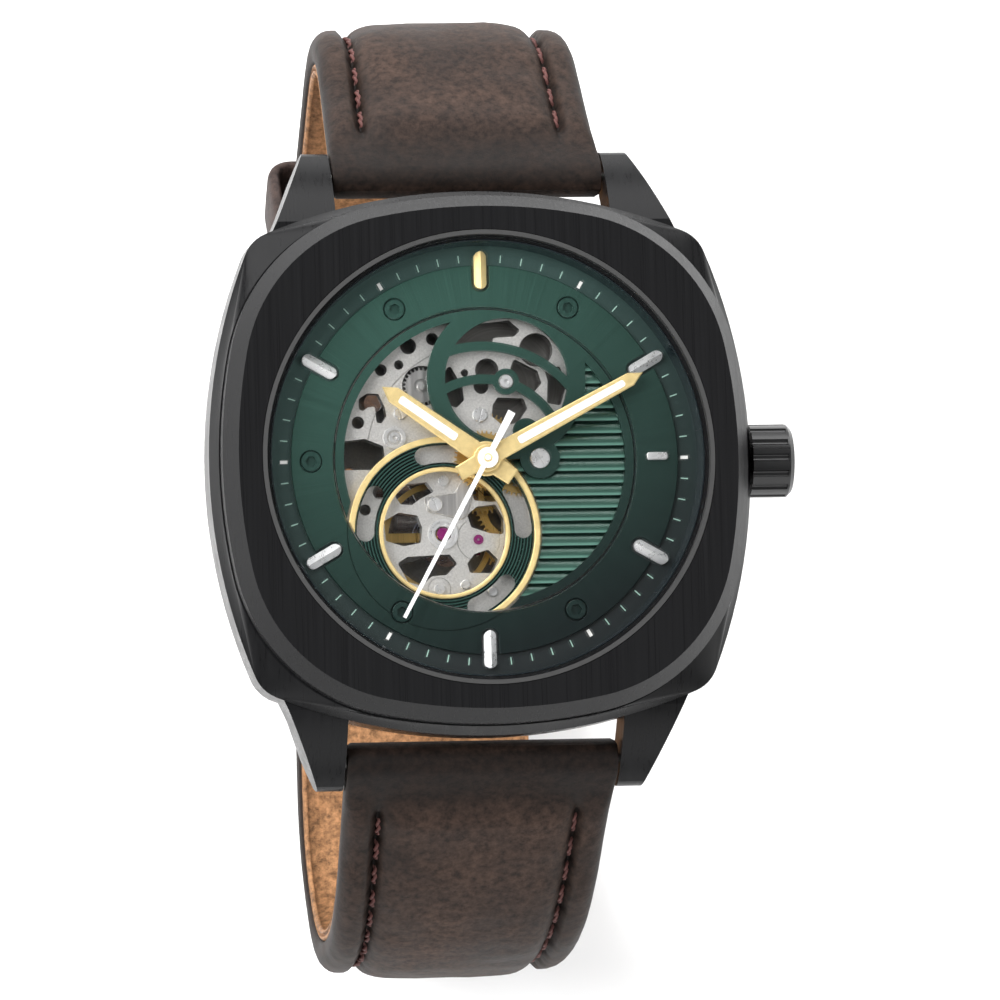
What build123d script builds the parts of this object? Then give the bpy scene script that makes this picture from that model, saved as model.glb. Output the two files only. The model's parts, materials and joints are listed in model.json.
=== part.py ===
from build123d import *

# Skeleton wristwatch: cushion case, open dial, automatic movement and buckled leather strap.
# Millimetres. The origin is the centre of the case back's outer face, on the axis of the hands.
# +Z points out of the dial, +Y to 12 o'clock and +X to 3 o'clock, where the crown is.
import os
from math import atan2, cos, degrees, hypot, radians, sin

# ---------------------------------------------------------------- driving dimensions
# case
CASE_HALF = 21.9            # half width across 9 to 3
SIDE_RADIUS = 45.0          # bow of each cushion side
CORNER_RADIUS = 3.0
FLANK_BOTTOM, FLANK_TOP = 2.0, 6.4
SHOULDER_TOP = 7.7          # the case slopes up from its flank to the bezel's seat
BEZEL_HALF, BEZEL_CORNER = 21.15, 14.5
BEZEL_TOP = 11.4
BEVEL_WIDTH, BEVEL_HEIGHT = 1.1, 1.9
OPENING_R = 18.2            # inner edge of the bezel
LUG_GAP = 22.3              # between the inner faces of two lugs
STRAP_WIDTH = 21.9
LUG_TIP_Y, LUG_TIP_Z = 25.8, -0.5
BAR_Y, BAR_Z = 23.6, 1.8    # spring bar axis
STEM_Z = 4.6
BACK_R = 16.6
# dial levels
TRACK_TOP, BRIDGE_TOP, DIAL_TOP = 8.45, 8.6, 8.8
SHEET = 0.35                # thickness of the dial sheets
DIAL_R, RING_R, RING_INNER = 17.3, 15.6, 12.25
FLANGE_R, FLANGE_INNER = 12.05, 11.35
INDEX_R, INDEX_LENGTH, INDEX_WIDTH = 15.2, 3.0, 0.98
SCREW_CIRCLE, SCREW_R = 14.0, 0.8
# openings of the dial
BALANCE_C = (-3.4, -5.83)
BARREL_C = (1.9, 6.4)
WINDOW_R = 4.95
LOBE_C = (4.45, 0.05)
HUB_C = (1.87, 6.25)         # hub of the inner spoke
# movement levels
PLATE_R, PLATE_BOTTOM, PLATE_TOP = 12.95, 6.3, 7.5
COCK_BOTTOM, COCK_TOP = 2.6, 3.4
RATCHET_BOTTOM, RATCHET_TOP = 2.2, 2.45
# going train: tooth counts, modules and places
BARREL_TEETH, CENTRE_LEAVES = 72, 12
CENTRE_TEETH, THIRD_LEAVES = 64, 8
THIRD_TEETH, FOURTH_LEAVES = 60, 8
FOURTH_TEETH, ESCAPE_LEAVES = 84, 7
ESCAPE_TEETH = 15
ARBOR_GAP = 4.5             # centre to third and third to fourth
THIRD_C = (3.55, -2.77)
ESCAPE_C = (1.75, -7.0)
FOURTH_C = (5.5, -6.83)
PALLET_C = (-0.55, -6.3)
# winding
WINDING_MODULE = 0.2
RATCHET_TEETH, CROWN_TEETH, REDUCTION_TEETH = 52, 30, 14
CROWN_WHEEL_C = (8.69, 1.8)
REDUCTION_C = (-4.75, 6.1)
CLICK_C = (-6.0, 10.0)
# motion work
CANNON_LEAVES, MINUTE_TEETH, MINUTE_LEAVES, HOUR_TEETH = 12, 36, 10, 40
MINUTE_C = (2.84, -0.6)
# hands: clock angle, length, width at the tip, width at the hub, tail length, tail width
HOUR = (305.4, 10.1, 1.35, 1.65, 2.6, 1.4)
MINUTE = (62.2, 14.4, 1.1, 1.45, 2.6, 1.2)
SECOND = (209.0, 14.5, 0.28, 0.4, 4.16, 0.62)
# strap loop in the Y-Z plane, from each lug bar to the flat bottom: slope where it leaves
# the bar, first straight, shoulder radius, lean past upright, foot radius
SIDE_12 = (42, 12.4, 10.0, 35, 16.0)
SIDE_6 = (48, 12.0, 23.3, 0, 14.0)
BOTTOM_Z = -38.0            # middle line of the flat bottom
LINING_IN, LINING_OUT = -1.7, -0.7     # offsets from the middle line, + is away from the wrist
LEATHER_OUT = 1.9
ROLL_R, BAR_HOLE_R = 1.6, 0.95         # leather rolled round a lug bar
TAIL_IN, TAIL_OUT = 2.2, 4.6           # offsets of the strap end that lies over the other half
TAIL_RUN = 4.0              # straight end of the tail, past the foot bend
CROSSING = (-9.5, 1.0)      # where the 6 o'clock half drops through the buckle
BUCKLE_Y, BUCKLE_Z = 1.5, -38.2
KEEPER_IN, KEEPER_OUT = -2.4, 4.9      # inside faces of a keeper, as offsets
KEEPER_WALL, KEEPER_LENGTH = 1.1, 5.5
FIXED_KEEPER_Y = 8.0
FREE_KEEPER_TURN = 10       # degrees into the foot bend
FLOOR_Z = BOTTOM_Z - KEEPER_OUT - KEEPER_WALL

os.makedirs("parts", exist_ok=True)


# ---------------------------------------------------------------- helpers
def save(name, *solids):
    """Write one node; several solids go into one compound."""
    bodies = [s for item in solids for s in item.solids()]
    shape = bodies[0] if len(bodies) == 1 else Compound(children=bodies)
    export_step(shape, f"parts/{name}.step")


def up(sketch, height):
    """Raise an X-Y sketch, whichever way round it was drawn."""
    return extrude(sketch, height, dir=(0, 0, 1))


def disc(r, z0, z1, at=(0, 0)):
    return Pos(at[0], at[1], z0) * up(Circle(r), z1 - z0)


def ring(outer, inner, z0, z1, at=(0, 0)):
    return Pos(at[0], at[1], z0) * up(Circle(outer) - Circle(inner), z1 - z0)


def plate(sketch, z0, z1):
    return Pos(0, 0, z0) * up(sketch, z1 - z0)


def circle_at(r, at):
    return Pos(*at) * Circle(r)


def blob(points, r):
    """A polygon with every corner rounded."""
    shape = Polygon(*points, align=None)
    return fillet(shape.vertices(), r)


def clock(r, angle):
    """Place on the dial at a clock angle, 0 at 12 o'clock, clockwise."""
    return (r * sin(radians(angle)), r * cos(radians(angle)))


def polar(r, angle, at=(0, 0)):
    return (at[0] + r * cos(radians(angle)), at[1] + r * sin(radians(angle)))


def bar(start, end, width):
    """A straight flat bar with round ends."""
    length = hypot(end[0] - start[0], end[1] - start[1])
    turn = degrees(atan2(end[1] - start[1], end[0] - start[0]))
    middle = ((start[0] + end[0]) / 2, (start[1] + end[1]) / 2)
    return Pos(*middle) * Rot(0, 0, turn) * SlotOverall(length + width, width)


def arc_slot(r, width, start, end, at=(0, 0)):
    return Pos(*at) * SlotArc(CenterArc((0, 0), r, start, end - start), width)


def direction(a, b):
    return degrees(atan2(b[1] - a[1], b[0] - a[0]))


def toothed(teeth, module, phase=0.0, addendum=0.95, dedendum=1.25):
    """Toothed disc outline, with one tooth centred at the phase angle."""
    pitch_r = module * teeth / 2
    root, tip = pitch_r - dedendum * module, pitch_r + addendum * module
    step = 360 / teeth
    points = []
    for i in range(teeth):
        centre = phase + i * step
        for r, part in ((root, -0.25), (tip, -0.09), (tip, 0.09), (root, 0.25)):
            points.append(polar(r, centre + part * step))
    return Polygon(*points, align=None)


def meshing_phase(teeth, driver_teeth, driver_phase, line):
    """Phase that puts a gap of this wheel where the driver's nearest tooth stands."""
    driver_step = 360 / driver_teeth
    offset = (line - driver_phase) / driver_step
    offset -= round(offset)
    return line + 180 + (0.5 + offset) * 360 / teeth


def spoked(teeth, module, phase, hub, spokes=4, spoke_width=0.45, rim=0.5):
    """Wheel with crossings cut out between its spokes."""
    wheel = toothed(teeth, module, phase)
    inner = module * teeth / 2 - 1.25 * module - rim
    window = Circle(inner) - Circle(hub)
    for i in range(spokes):
        window -= Rot(0, 0, i * 360 / spokes) * Pos(inner / 2, 0) * Rectangle(inner, spoke_width)
    return wheel - window


def cushion(half, corner):
    """Square with bowed sides and rounded corners, as a sketch."""
    centre = half - SIDE_RADIUS
    shape = None
    for turn in range(4):
        lens = Rot(0, 0, 90 * turn) * Pos(centre, 0) * Circle(SIDE_RADIUS)
        shape = lens if shape is None else shape & lens
    return fillet(shape.vertices(), corner)


def slotted_screw(r, z0, z1, at, slot_angle=60, slot=0.14):
    head = disc(r, z0, z1, at)
    head = chamfer(head.edges().group_by(Axis.Z)[-1], 0.06)
    cut = Pos(at[0], at[1], z1) * Rot(0, 0, slot_angle) * Box(3 * r, slot, 0.24)
    return head - cut


# ---------------------------------------------------------------- case
def lug_solid():
    """One lug, at +X +Y, with the blind hole for the spring bar's tip."""
    inner = LUG_GAP / 2
    plan_points = ((inner, 16.0), (inner, LUG_TIP_Y), (13.2, LUG_TIP_Y), (16.0, 19.5), (17.2, 17.0))
    plan = plate(Polygon(*plan_points, align=None), -2, 9)
    heel, toe = (19.6, 6.2), (25.5, 1.6)
    side = make_face(
        Polyline((14.5, 2.2), (20.2, 2.2), (23.2, -0.3), (24.0, LUG_TIP_Z), (25.5, LUG_TIP_Z))
        + ThreePointArc((25.5, LUG_TIP_Z), (LUG_TIP_Y, 0.4), toe)
        + ThreePointArc(toe, (22.8, 4.3), heel)
        + Polyline(heel, (14.5, 6.3), (14.5, 2.2))
    )
    lug = plan & extrude(Plane.YZ * side, 20, both=True)
    return lug - Pos(inner, BAR_Y, BAR_Z) * Rot(0, 90, 0) * Cylinder(0.45, 2.2)


def make_case_middle():
    rim = cushion(CASE_HALF, CORNER_RADIUS)
    body = plate(rim, FLANK_BOTTOM, FLANK_TOP)
    body = chamfer(body.edges().group_by(Axis.Z)[0], 0.8)
    seat = cushion(BEZEL_HALF + 0.1, BEZEL_CORNER)
    body += loft([Pos(0, 0, FLANK_TOP) * rim, Pos(0, 0, SHOULDER_TOP) * seat], ruled=True)
    lug = lug_solid()
    for piece in (lug, mirror(lug, Plane.YZ)):
        body = body + piece + mirror(piece, Plane.XZ)
    body -= disc(15.3, 1.0, 7.9) + disc(17.5, 6.9, 8.0) + disc(BACK_R - 0.4, 1.0, 2.7)
    stem_axis = Pos(0, 0, STEM_Z) * Rot(0, 90, 0)
    body += stem_axis * disc(1.2, 20.5, 22.6)
    body -= stem_axis * disc(0.75, 12, 23)
    save("case_middle", body)


def make_bezel():
    """Rounder than the case below it; a recessed skirt leaves a fine line between the two."""
    skirt_top = SHOULDER_TOP + 0.4
    skirt = plate(cushion(BEZEL_HALF - 0.3, BEZEL_CORNER), SHOULDER_TOP, skirt_top)
    upper = plate(cushion(BEZEL_HALF, BEZEL_CORNER), skirt_top, BEZEL_TOP)
    upper = chamfer(upper.edges().group_by(Axis.Z)[-1], BEVEL_HEIGHT, BEVEL_WIDTH)
    body = skirt + upper
    body -= disc(17.5, 7, 10.6) + disc(OPENING_R, 10.6, 12)
    save("bezel", body)


def make_crystal():
    glass = disc(17.75, 10.7, 11.75)
    save("crystal", chamfer(glass.edges().group_by(Axis.Z)[-1], 0.3))


def make_gaskets():
    save("gaskets", ring(18.15, 17.8, 10.65, 11.45), ring(BACK_R - 0.5, 15.5, 2.25, 2.65))


def make_rehaut():
    """Sloping ring between the dial's edge and the crystal."""
    profile = make_face(Polyline((17.45, 8.5), (17.2, 8.5), (17.35, 10.6), (17.45, 10.6), (17.45, 8.5)))
    save("rehaut", revolve(Plane.XZ * profile, Axis.Z))


def make_case_back():
    body = ring(BACK_R, 12.9, 0.0, 2.0) + ring(15.25, 13.6, 2.0, 2.6)
    body = chamfer(body.edges().group_by(Axis.Z)[0].sort_by(SortBy.LENGTH)[-1], 0.6)
    body -= disc(13.35, 0.5, 2.1)
    for i in range(6):
        body -= Rot(0, 0, 60 * i + 30) * Pos(BACK_R, 0, 0.5) * Box(2.4, 2.4, 1.1)
    save("case_back", body)
    save("case_back_glass", disc(12.87, 0.0, 0.55) + disc(13.3, 0.55, 1.3))


def make_crown_side():
    """Crown, stem, winding pinion and sliding clutch, all on the stem's axis."""
    axis = Pos(0, 0, STEM_Z) * Rot(0, 90, 0)
    knob = disc(2.95, 22.0, 25.4)
    knob = chamfer(knob.edges().group_by(Axis.Z)[-1], 0.35)
    for i in range(14):
        knob -= Rot(0, 0, i * 360 / 14) * Pos(3.05, 0, 23.4) * Cylinder(0.3, 3.0)
    knob -= disc(1.35, 21, 22.9)
    stem = disc(0.4, 9.98, 14) + disc(0.68, 14, 22.9) + disc(0.25, 7.0, 7.6)
    stem += Pos(0, 0, 8.79) * Box(0.56, 0.56, 2.38)
    save("crown", axis * knob)
    save("winding_stem", axis * stem)
    pinion = plate(toothed(14, 0.16), 10.0, 11.0) - disc(0.45, 9.5, 11.5)
    save("winding_pinion", axis * pinion)
    clutch = disc(1.0, 8.8, 9.93) - ring(1.3, 0.75, 9.15, 9.5) - Pos(0, 0, 9.3) * Box(0.62, 0.62, 3)
    for i in range(8):
        clutch -= Rot(0, 0, 45 * i) * Pos(0.85, 0, 9.9) * Box(0.5, 0.25, 0.25)
    save("sliding_clutch", axis * clutch)


def make_spring_bars():
    """Two strap bars and the buckle bar; the +X tip of each strap bar is sprung and separate."""
    sleeve = Cylinder(0.85, 21.6) - Pos(0, 0, 9.3) * Cylinder(0.45, 3.1)
    lug_bar = Rot(0, 90, 0) * (sleeve + Pos(0, 0, -11.3) * Cylinder(0.4, 1.2))
    tip = Rot(0, 90, 0) * (Pos(0, 0, 10.75) * Cylinder(0.4, 2.3))
    buckle_bar = Pos(0, BUCKLE_Y, BUCKLE_Z) * Rot(0, 90, 0) * Cylinder(0.8, 23.6)
    save("spring_bars", Pos(0, BAR_Y, BAR_Z) * lug_bar, Pos(0, -BAR_Y, BAR_Z) * lug_bar, buckle_bar)
    save("spring_bar_tip_12", Pos(0, BAR_Y, BAR_Z) * tip)
    save("spring_bar_tip_6", Pos(0, -BAR_Y, BAR_Z) * tip)


# ---------------------------------------------------------------- dial
def notch_at(angle):
    """Radial slot for an index, open at the ring's outer edge."""
    inner = 14.2
    slot = Pos(*clock((inner + 17) / 2, angle)) * Rot(0, 0, 90 - angle) * Rectangle(17 - inner, 1.4)
    return slot + circle_at(0.7, clock(inner, angle))


def make_dial_plates():
    track = Circle(DIAL_R) - Circle(RING_INNER - 0.1)
    save("dial_base", plate(track, TRACK_TOP - SHEET, TRACK_TOP))
    ring_sketch = Circle(RING_R) - Circle(RING_INNER)
    for hour in range(0, 12, 2):
        ring_sketch -= notch_at(30 * hour)
    for hour in (1, 5, 7, 9, 11):
        ring_sketch -= circle_at(SCREW_R + 0.1, clock(SCREW_CIRCLE, 30 * hour))
    body = plate(ring_sketch, TRACK_TOP, DIAL_TOP)
    body = chamfer(body.edges().group_by(Axis.Z)[-1], 0.05)
    save("dial_ring", body - ring(7.88, 7.78, DIAL_TOP - 0.12, DIAL_TOP + 0.1, BALANCE_C))


def dial_bridge_sketch():
    """Flange, barrel window ring, its two curved spokes and the screw lobe."""
    sheet = Circle(FLANGE_R) - Circle(FLANGE_INNER)
    sheet += circle_at(6.4, BARREL_C) & Circle(FLANGE_R)
    sheet -= circle_at(WINDOW_R, BARREL_C)
    window = circle_at(WINDOW_R + 0.2, BARREL_C)
    outer_spoke = (Circle(9.5) - Circle(8.75)) & window
    inner_spoke = (Circle(6.85) - Circle(6.1)) & window
    sheet += outer_spoke + inner_spoke + circle_at(1.05, HUB_C)
    sheet += circle_at(1.6, LOBE_C) + bar((3.4, 2.2), LOBE_C, 2.2)
    sheet += (Pos(7.1, 8.2) * Rectangle(2.4, 3.6) & Circle(FLANGE_R)) - circle_at(WINDOW_R, BARREL_C)
    sheet -= circle_at(7.9, BALANCE_C)
    return sheet - circle_at(0.6, HUB_C) - circle_at(0.82, LOBE_C)


def make_bridge_and_louvres():
    """The bridge sheet, and a lower panel of curved slats that rise to a sharp lower lip."""
    bridge_sheet = dial_bridge_sketch()
    save("dial_bridge", plate(bridge_sheet, BRIDGE_TOP - SHEET, BRIDGE_TOP))
    low, high, pitch = 8.05, 8.42, 1.0
    outline = Circle(FLANGE_INNER - 0.02) - circle_at(7.88, BALANCE_C) - bridge_sheet
    outline -= circle_at(6.42, BARREL_C) + circle_at(0.95, (0, 0)) + circle_at(1.62, LOBE_C)
    outline &= Pos(6.6, -2.6) * Rectangle(11.0, 21.4)
    slab = plate(outline, low - 0.1, high + 0.08)
    first, count = 8.05, 21
    profile = Polyline((first, 7.9), (first, low))
    for i in range(count):
        y, lip = first - i * pitch, first - (i + 1) * pitch
        profile += ThreePointArc((y, low), (y - 0.42 * pitch, high - 0.1), (lip, high))
        profile += Line((lip, high), (lip, low))
    profile += Polyline((lip, low), (lip, 7.9), (first, 7.9))
    slats = extrude(Plane.YZ * make_face(profile), 13)
    save("louvre_panel", slab & slats)


def make_balance_ring():
    clip = Circle(FLANGE_R + 0.02)
    face = (circle_at(7.22, BALANCE_C) - circle_at(5.28, BALANCE_C)) & clip
    for start, end in ((64, 104), (150, 179), (2, 31), (-68, -40)):
        face -= arc_slot(6.35, 1.4, start, end, BALANCE_C)
    face -= circle_at(0.95, (0, 0))
    body = plate(face, BRIDGE_TOP - SHEET, BRIDGE_TOP)
    for i in range(7):
        body -= ring(5.62 + 0.25 * i, 5.5 + 0.25 * i, BRIDGE_TOP - 0.14, BRIDGE_TOP + 0.1, BALANCE_C)
    save("balance_ring", body)
    outer = ((circle_at(7.72, BALANCE_C) - circle_at(7.24, BALANCE_C)) & clip) - circle_at(1.02, (0, 0))
    inner = circle_at(5.26, BALANCE_C) - circle_at(WINDOW_R, BALANCE_C)
    rings = [plate(outer, BRIDGE_TOP - SHEET, DIAL_TOP - 0.05), plate(inner, BRIDGE_TOP - SHEET, DIAL_TOP)]
    rings = [chamfer(r.edges().group_by(Axis.Z)[-1], 0.08) for r in rings]
    save("gold_rings", *rings)


def baton(angle):
    """Applied index with a ridge along its length and round ends."""
    half, height = INDEX_WIDTH / 2, 0.75
    section = ((-half, 0), (half, 0), (half, 0.3), (0, height), (-half, 0.3), (-half, 0))
    roof = make_face(Polyline(*section))
    block = extrude(Plane.XZ * roof, INDEX_LENGTH / 2, both=True)
    block &= up(SlotOverall(INDEX_LENGTH, INDEX_WIDTH, rotation=90), 1)
    return Pos(*clock(INDEX_R, angle), TRACK_TOP) * Rot(0, 0, -angle) * block


def make_indices():
    save("index_12", baton(0))
    marker = Pos(13.9, 0.1, DIAL_TOP) * up(RectangleRounded(1.7, 0.6, 0.2), 0.25)
    marker = chamfer(marker.edges().group_by(Axis.Z)[-1], 0.08)
    save("indices_silver", *[baton(30 * h) for h in (2, 4, 6, 8, 10)], marker)


def make_screws():
    heads = []
    for hour in (1, 5, 7, 9, 11):
        place = clock(SCREW_CIRCLE, 30 * hour)
        head = disc(SCREW_R, TRACK_TOP, DIAL_TOP + 0.03, place)
        head = chamfer(head.edges().group_by(Axis.Z)[-1], 0.06)
        socket = Pos(*place, DIAL_TOP - 0.25) * Rot(0, 0, 13 * hour) * up(RegularPolygon(0.46, 6), 1)
        heads.append(head - socket)
    save("dial_screws", *heads)
    pivot = disc(0.5, 7.55, 8.7, HUB_C) - disc(0.2, 8.5, 9, HUB_C)
    save(
        "bridge_screws",
        slotted_screw(0.78, 8.0, 8.75, LOBE_C, 120),
        pivot,
        slotted_screw(0.58, PLATE_TOP, 7.75, (-0.15, 3.7), 75),
        slotted_screw(0.5, PLATE_TOP, 7.75, (-6.6, 3.9), 110),
        slotted_screw(0.58, PLATE_TOP + 0.2, 7.9, (-4.0, -3.45), 110),
        slotted_screw(0.38, PLATE_TOP, 7.75, (-1.7, -9.9), 20),
        slotted_screw(0.4, PLATE_TOP, 7.8, (0.5, -10.5), 45),
    )


# ---------------------------------------------------------------- movement plates
BALANCE_WINDOWS = (
    ((-8.1, -4.7), (-6.9, -4.05), (-5.4, -4.3), (-5.05, -5.3), (-5.2, -6.5), (-6.6, -6.75), (-8.0, -6.3)),
    ((-7.1, -8.1), (-6.3, -7.6), (-2.9, -7.45), (-2.3, -8.2), (-3.2, -9.1), (-4.4, -9.2), (-5.2, -9.95),
     (-6.3, -9.6)),
    ((-7.2, -2.7), (-6.2, -1.8), (-4.6, -1.65), (-4.0, -2.4), (-5.2, -3.0), (-5.8, -3.45), (-6.7, -3.4)),
    ((-1.4, -4.3), (-0.6, -3.65), (0.9, -3.5), (1.5, -4.6), (1.5, -5.9), (0.4, -5.8), (-1.1, -5.3)),
    ((-1.5, -8.2), (-0.9, -7.45), (0.2, -7.1), (1.0, -7.9), (0.5, -9.0), (-1.3, -8.95)),
    ((-1.0, -2.4), (-0.2, -1.6), (1.2, -2.2), (1.5, -3.2), (0.6, -3.3), (-0.8, -3.15)),
)
HOOK = (
    (-9.9, 4.3), (-9.9, 5.1), (-9.2, 5.55), (-8.3, 5.5), (-7.8, 4.4), (-7.7, 3.7),
    (-8.1, 3.1), (-8.5, 3.2), (-8.6, 4.5), (-9.2, 4.4), (-9.6, 4.1),
)
BARREL_CUTS = (
    ((-2.6, 4.5), (-3.1, 6.0), (-3.0, 7.0), (-2.5, 7.8), (-1.9, 6.7), (-1.5, 5.9), (-1.4, 4.9), (-2.0, 4.3)),
    ((2.4, 7.4), (2.7, 8.2), (4.6, 7.2), (4.9, 6.2), (4.3, 5.5), (3.4, 6.0), (2.9, 6.6)),
    ((0.9, 4.5), (1.3, 5.1), (3.4, 5.0), (3.7, 4.2), (2.9, 3.0), (1.6, 2.9), (0.8, 3.6)),
    ((-2.6, 8.6), (-2.4, 9.6), (-0.5, 11.0), (2.4, 11.3), (3.3, 10.5), (2.8, 10.0), (1.1, 9.9), (0.9, 9.0),
     (-1.0, 9.0)),
    ((5.3, 4.6), (5.4, 6.4), (5.2, 7.2), (6.4, 7.6), (6.9, 6.0), (6.4, 4.4)),
)
THROUGH_HOLES = (
    (-3.85, 9.85, 0.5), (-5.8, 9.3, 0.65), (-8.05, 7.4, 0.48), (-6.6, 7.8, 0.38), (-10.0, 3.2, 0.5),
    (-9.6, -3.8, 0.45), (-8.4, -2.4, 0.55), (4.5, 8.9, 1.35), (0.5, 7.3, 0.95), (-1.3, 7.1, 0.3),
    (0.0, 6.0, 0.6),
)


def make_main_plate():
    body = disc(PLATE_R, PLATE_BOTTOM, PLATE_TOP) + ring(PLATE_R, 12.7, 3.45, PLATE_BOTTOM)
    cuts = None
    for points in BALANCE_WINDOWS + (HOOK,) + BARREL_CUTS:
        shape = blob(points, 0.2)
        cuts = shape if cuts is None else cuts + shape
    for x, y, r in THROUGH_HOLES:
        cuts += circle_at(r, (x, y))
    cuts += circle_at(1.62, REDUCTION_C) + circle_at(0.75, (0, 0))
    cuts += blob(((-12.2, -0.6), (-12.1, 1.6), (-9.5, 1.9), (-8.0, 1.3), (-7.9, 0.2), (-9.0, -0.6)), 0.3)
    body -= plate(cuts, PLATE_BOTTOM - 0.1, PLATE_TOP + 0.1)
    for place in (THIRD_C, FOURTH_C, ESCAPE_C, PALLET_C):
        body -= disc(0.3, PLATE_BOTTOM - 0.1, PLATE_TOP + 0.1, place)
    body -= disc(1.15, PLATE_BOTTOM - 0.1, PLATE_TOP + 0.1, BALANCE_C)
    body -= disc(2.6, PLATE_BOTTOM + 1.17, PLATE_TOP + 0.1, MINUTE_C)
    body -= disc(0.9, PLATE_BOTTOM - 0.1, 6.9, BARREL_C)
    body -= Pos(12, 0, STEM_Z) * Rot(0, 90, 0) * Cylinder(1.0, 4)
    # cut lines of the plate's fitted sections
    body -= ring(9.45, 9.37, PLATE_TOP - 0.1, PLATE_TOP + 0.1) & (Pos(-8, 6, PLATE_TOP) * Box(9, 9, 1))
    body -= ring(1.75, 1.68, PLATE_TOP - 0.08, PLATE_TOP + 0.1, PALLET_C)
    body -= ring(0.95, 0.88, PLATE_TOP - 0.08, PLATE_TOP + 0.1, (-3.8, -10.25))
    save("main_plate", body)


def make_jewels():
    train = (THIRD_C, FOURTH_C, ESCAPE_C)
    stones = [ring(0.29, 0.09, PLATE_BOTTOM + 0.4, PLATE_TOP - 0.02, place) for place in train]
    stones.append(ring(0.4, 0.1, PLATE_TOP, PLATE_TOP + 0.12, PALLET_C))
    stones.append(disc(0.5, 7.62, 7.8, BALANCE_C))
    for place in (THIRD_C, FOURTH_C, ESCAPE_C):
        stones.append(ring(0.34, 0.09, COCK_BOTTOM + 0.2, COCK_TOP, place))
    save("jewels", *stones)
    cup = ring(1.12, 0.62, 6.6, 7.62, BALANCE_C) + ring(1.2, 1.0, 7.52, 7.72, BALANCE_C)
    lyre = ring(0.9, 0.7, 7.62, 7.72, BALANCE_C) - Pos(*BALANCE_C, 7.7) * Box(0.4, 2.2, 1)
    bushing = ring(0.9, 0.62, PLATE_TOP, 7.7, (-7.1, 1.95)) + ring(0.42, 0.18, PLATE_TOP, 7.65, (-7.1, 1.95))
    posts = disc(0.4, PLATE_TOP, 7.75, (-3.25, -1.55)) + disc(0.4, PLATE_TOP, 7.75, (-3.8, -10.25))
    save("shock_setting", cup, lyre, bushing, posts)


def make_cover_plate():
    corners = (
        (-4.9, -2.9), (-4.6, -4.0), (-2.6, -4.5), (-1.9, -4.7),
        (-1.4, -4.3), (-0.9, -2.6), (-1.6, -1.2), (-2.4, -2.6),
    )
    outline = blob(corners, 0.25)
    body = plate(outline, PLATE_TOP, PLATE_TOP + 0.2) - disc(0.2, PLATE_TOP, 8, (-1.95, -3.9))
    save("cover_plate", chamfer(body.edges().group_by(Axis.Z)[-1], 0.04))


def make_train_bridge():
    sheet = Circle(12.6) - circle_at(5.6, BALANCE_C) - circle_at(3.35, CROWN_WHEEL_C)
    sheet -= bar(BALANCE_C, (-13, -9), 10.4)
    sheet -= circle_at(0.83, BARREL_C) + circle_at(0.36, REDUCTION_C) + circle_at(0.24, (0, 0))
    for place in (THIRD_C, FOURTH_C, ESCAPE_C):
        sheet -= circle_at(0.35, place)
    sheet -= circle_at(0.75, (-8.2, 5.2)) + circle_at(0.62, (-10.2, -0.6))
    save("train_bridge", plate(sheet, COCK_BOTTOM, COCK_TOP))
    arm = (bar(BALANCE_C, (-10.8, -7.9), 2.4) + circle_at(1.5, BALANCE_C)) & Circle(12.6)
    arm -= circle_at(0.12, BALANCE_C)
    foot = disc(1.1, COCK_TOP, PLATE_BOTTOM, (-9.9, -7.1)) & disc(12.6, 2, 7)
    cock = plate(arm, COCK_BOTTOM, COCK_TOP) + foot
    cock += ring(0.75, 0.12, COCK_BOTTOM - 0.25, COCK_BOTTOM, BALANCE_C)
    save("balance_cock", cock)


def make_movement_ring():
    holder = ring(15.2, 13.0, 2.75, 8.05) - Pos(14, 0, STEM_Z) * Rot(0, 90, 0) * Cylinder(1.0, 6)
    save("movement_ring", holder)


# ---------------------------------------------------------------- wheels
def make_barrel():
    module = 2 * hypot(*BARREL_C) / (BARREL_TEETH + CENTRE_LEAVES)
    line = direction(BARREL_C, (0, 0))
    rim = Pos(*BARREL_C, 5.15) * up(toothed(BARREL_TEETH, module, line) - Circle(4.6), 0.35)
    drum = ring(5.2, 4.9, 3.6, 5.15, BARREL_C) + ring(5.2, 0.9, 3.55, 3.75, BARREL_C) + rim
    drum = drum + ring(4.9, 0.75, 5.2, 5.5, BARREL_C)
    save("barrel_drum", drum)
    shaft = disc(0.78, RATCHET_TOP, 3.85, BARREL_C) + disc(1.3, 3.8, 5.1, BARREL_C)
    shaft += disc(0.7, 5.1, 6.85, BARREL_C)
    shaft += Pos(*BARREL_C, 2.3) * Box(1.0, 1.0, 0.5)
    save("barrel_arbor", shaft)
    coils = [ring(1.75 + 0.42 * i, 1.63 + 0.42 * i, 3.85, 5.05, BARREL_C) for i in range(8)]
    spring = coils[0]
    for i, coil in enumerate(coils[1:], 1):
        link = Pos(BARREL_C[0] + 1.49 + 0.42 * i, BARREL_C[1], 4.45) * Box(0.42, 0.12, 1.2)
        spring = spring + coil + link
    save("mainspring", spring)
    return module, line


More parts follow.
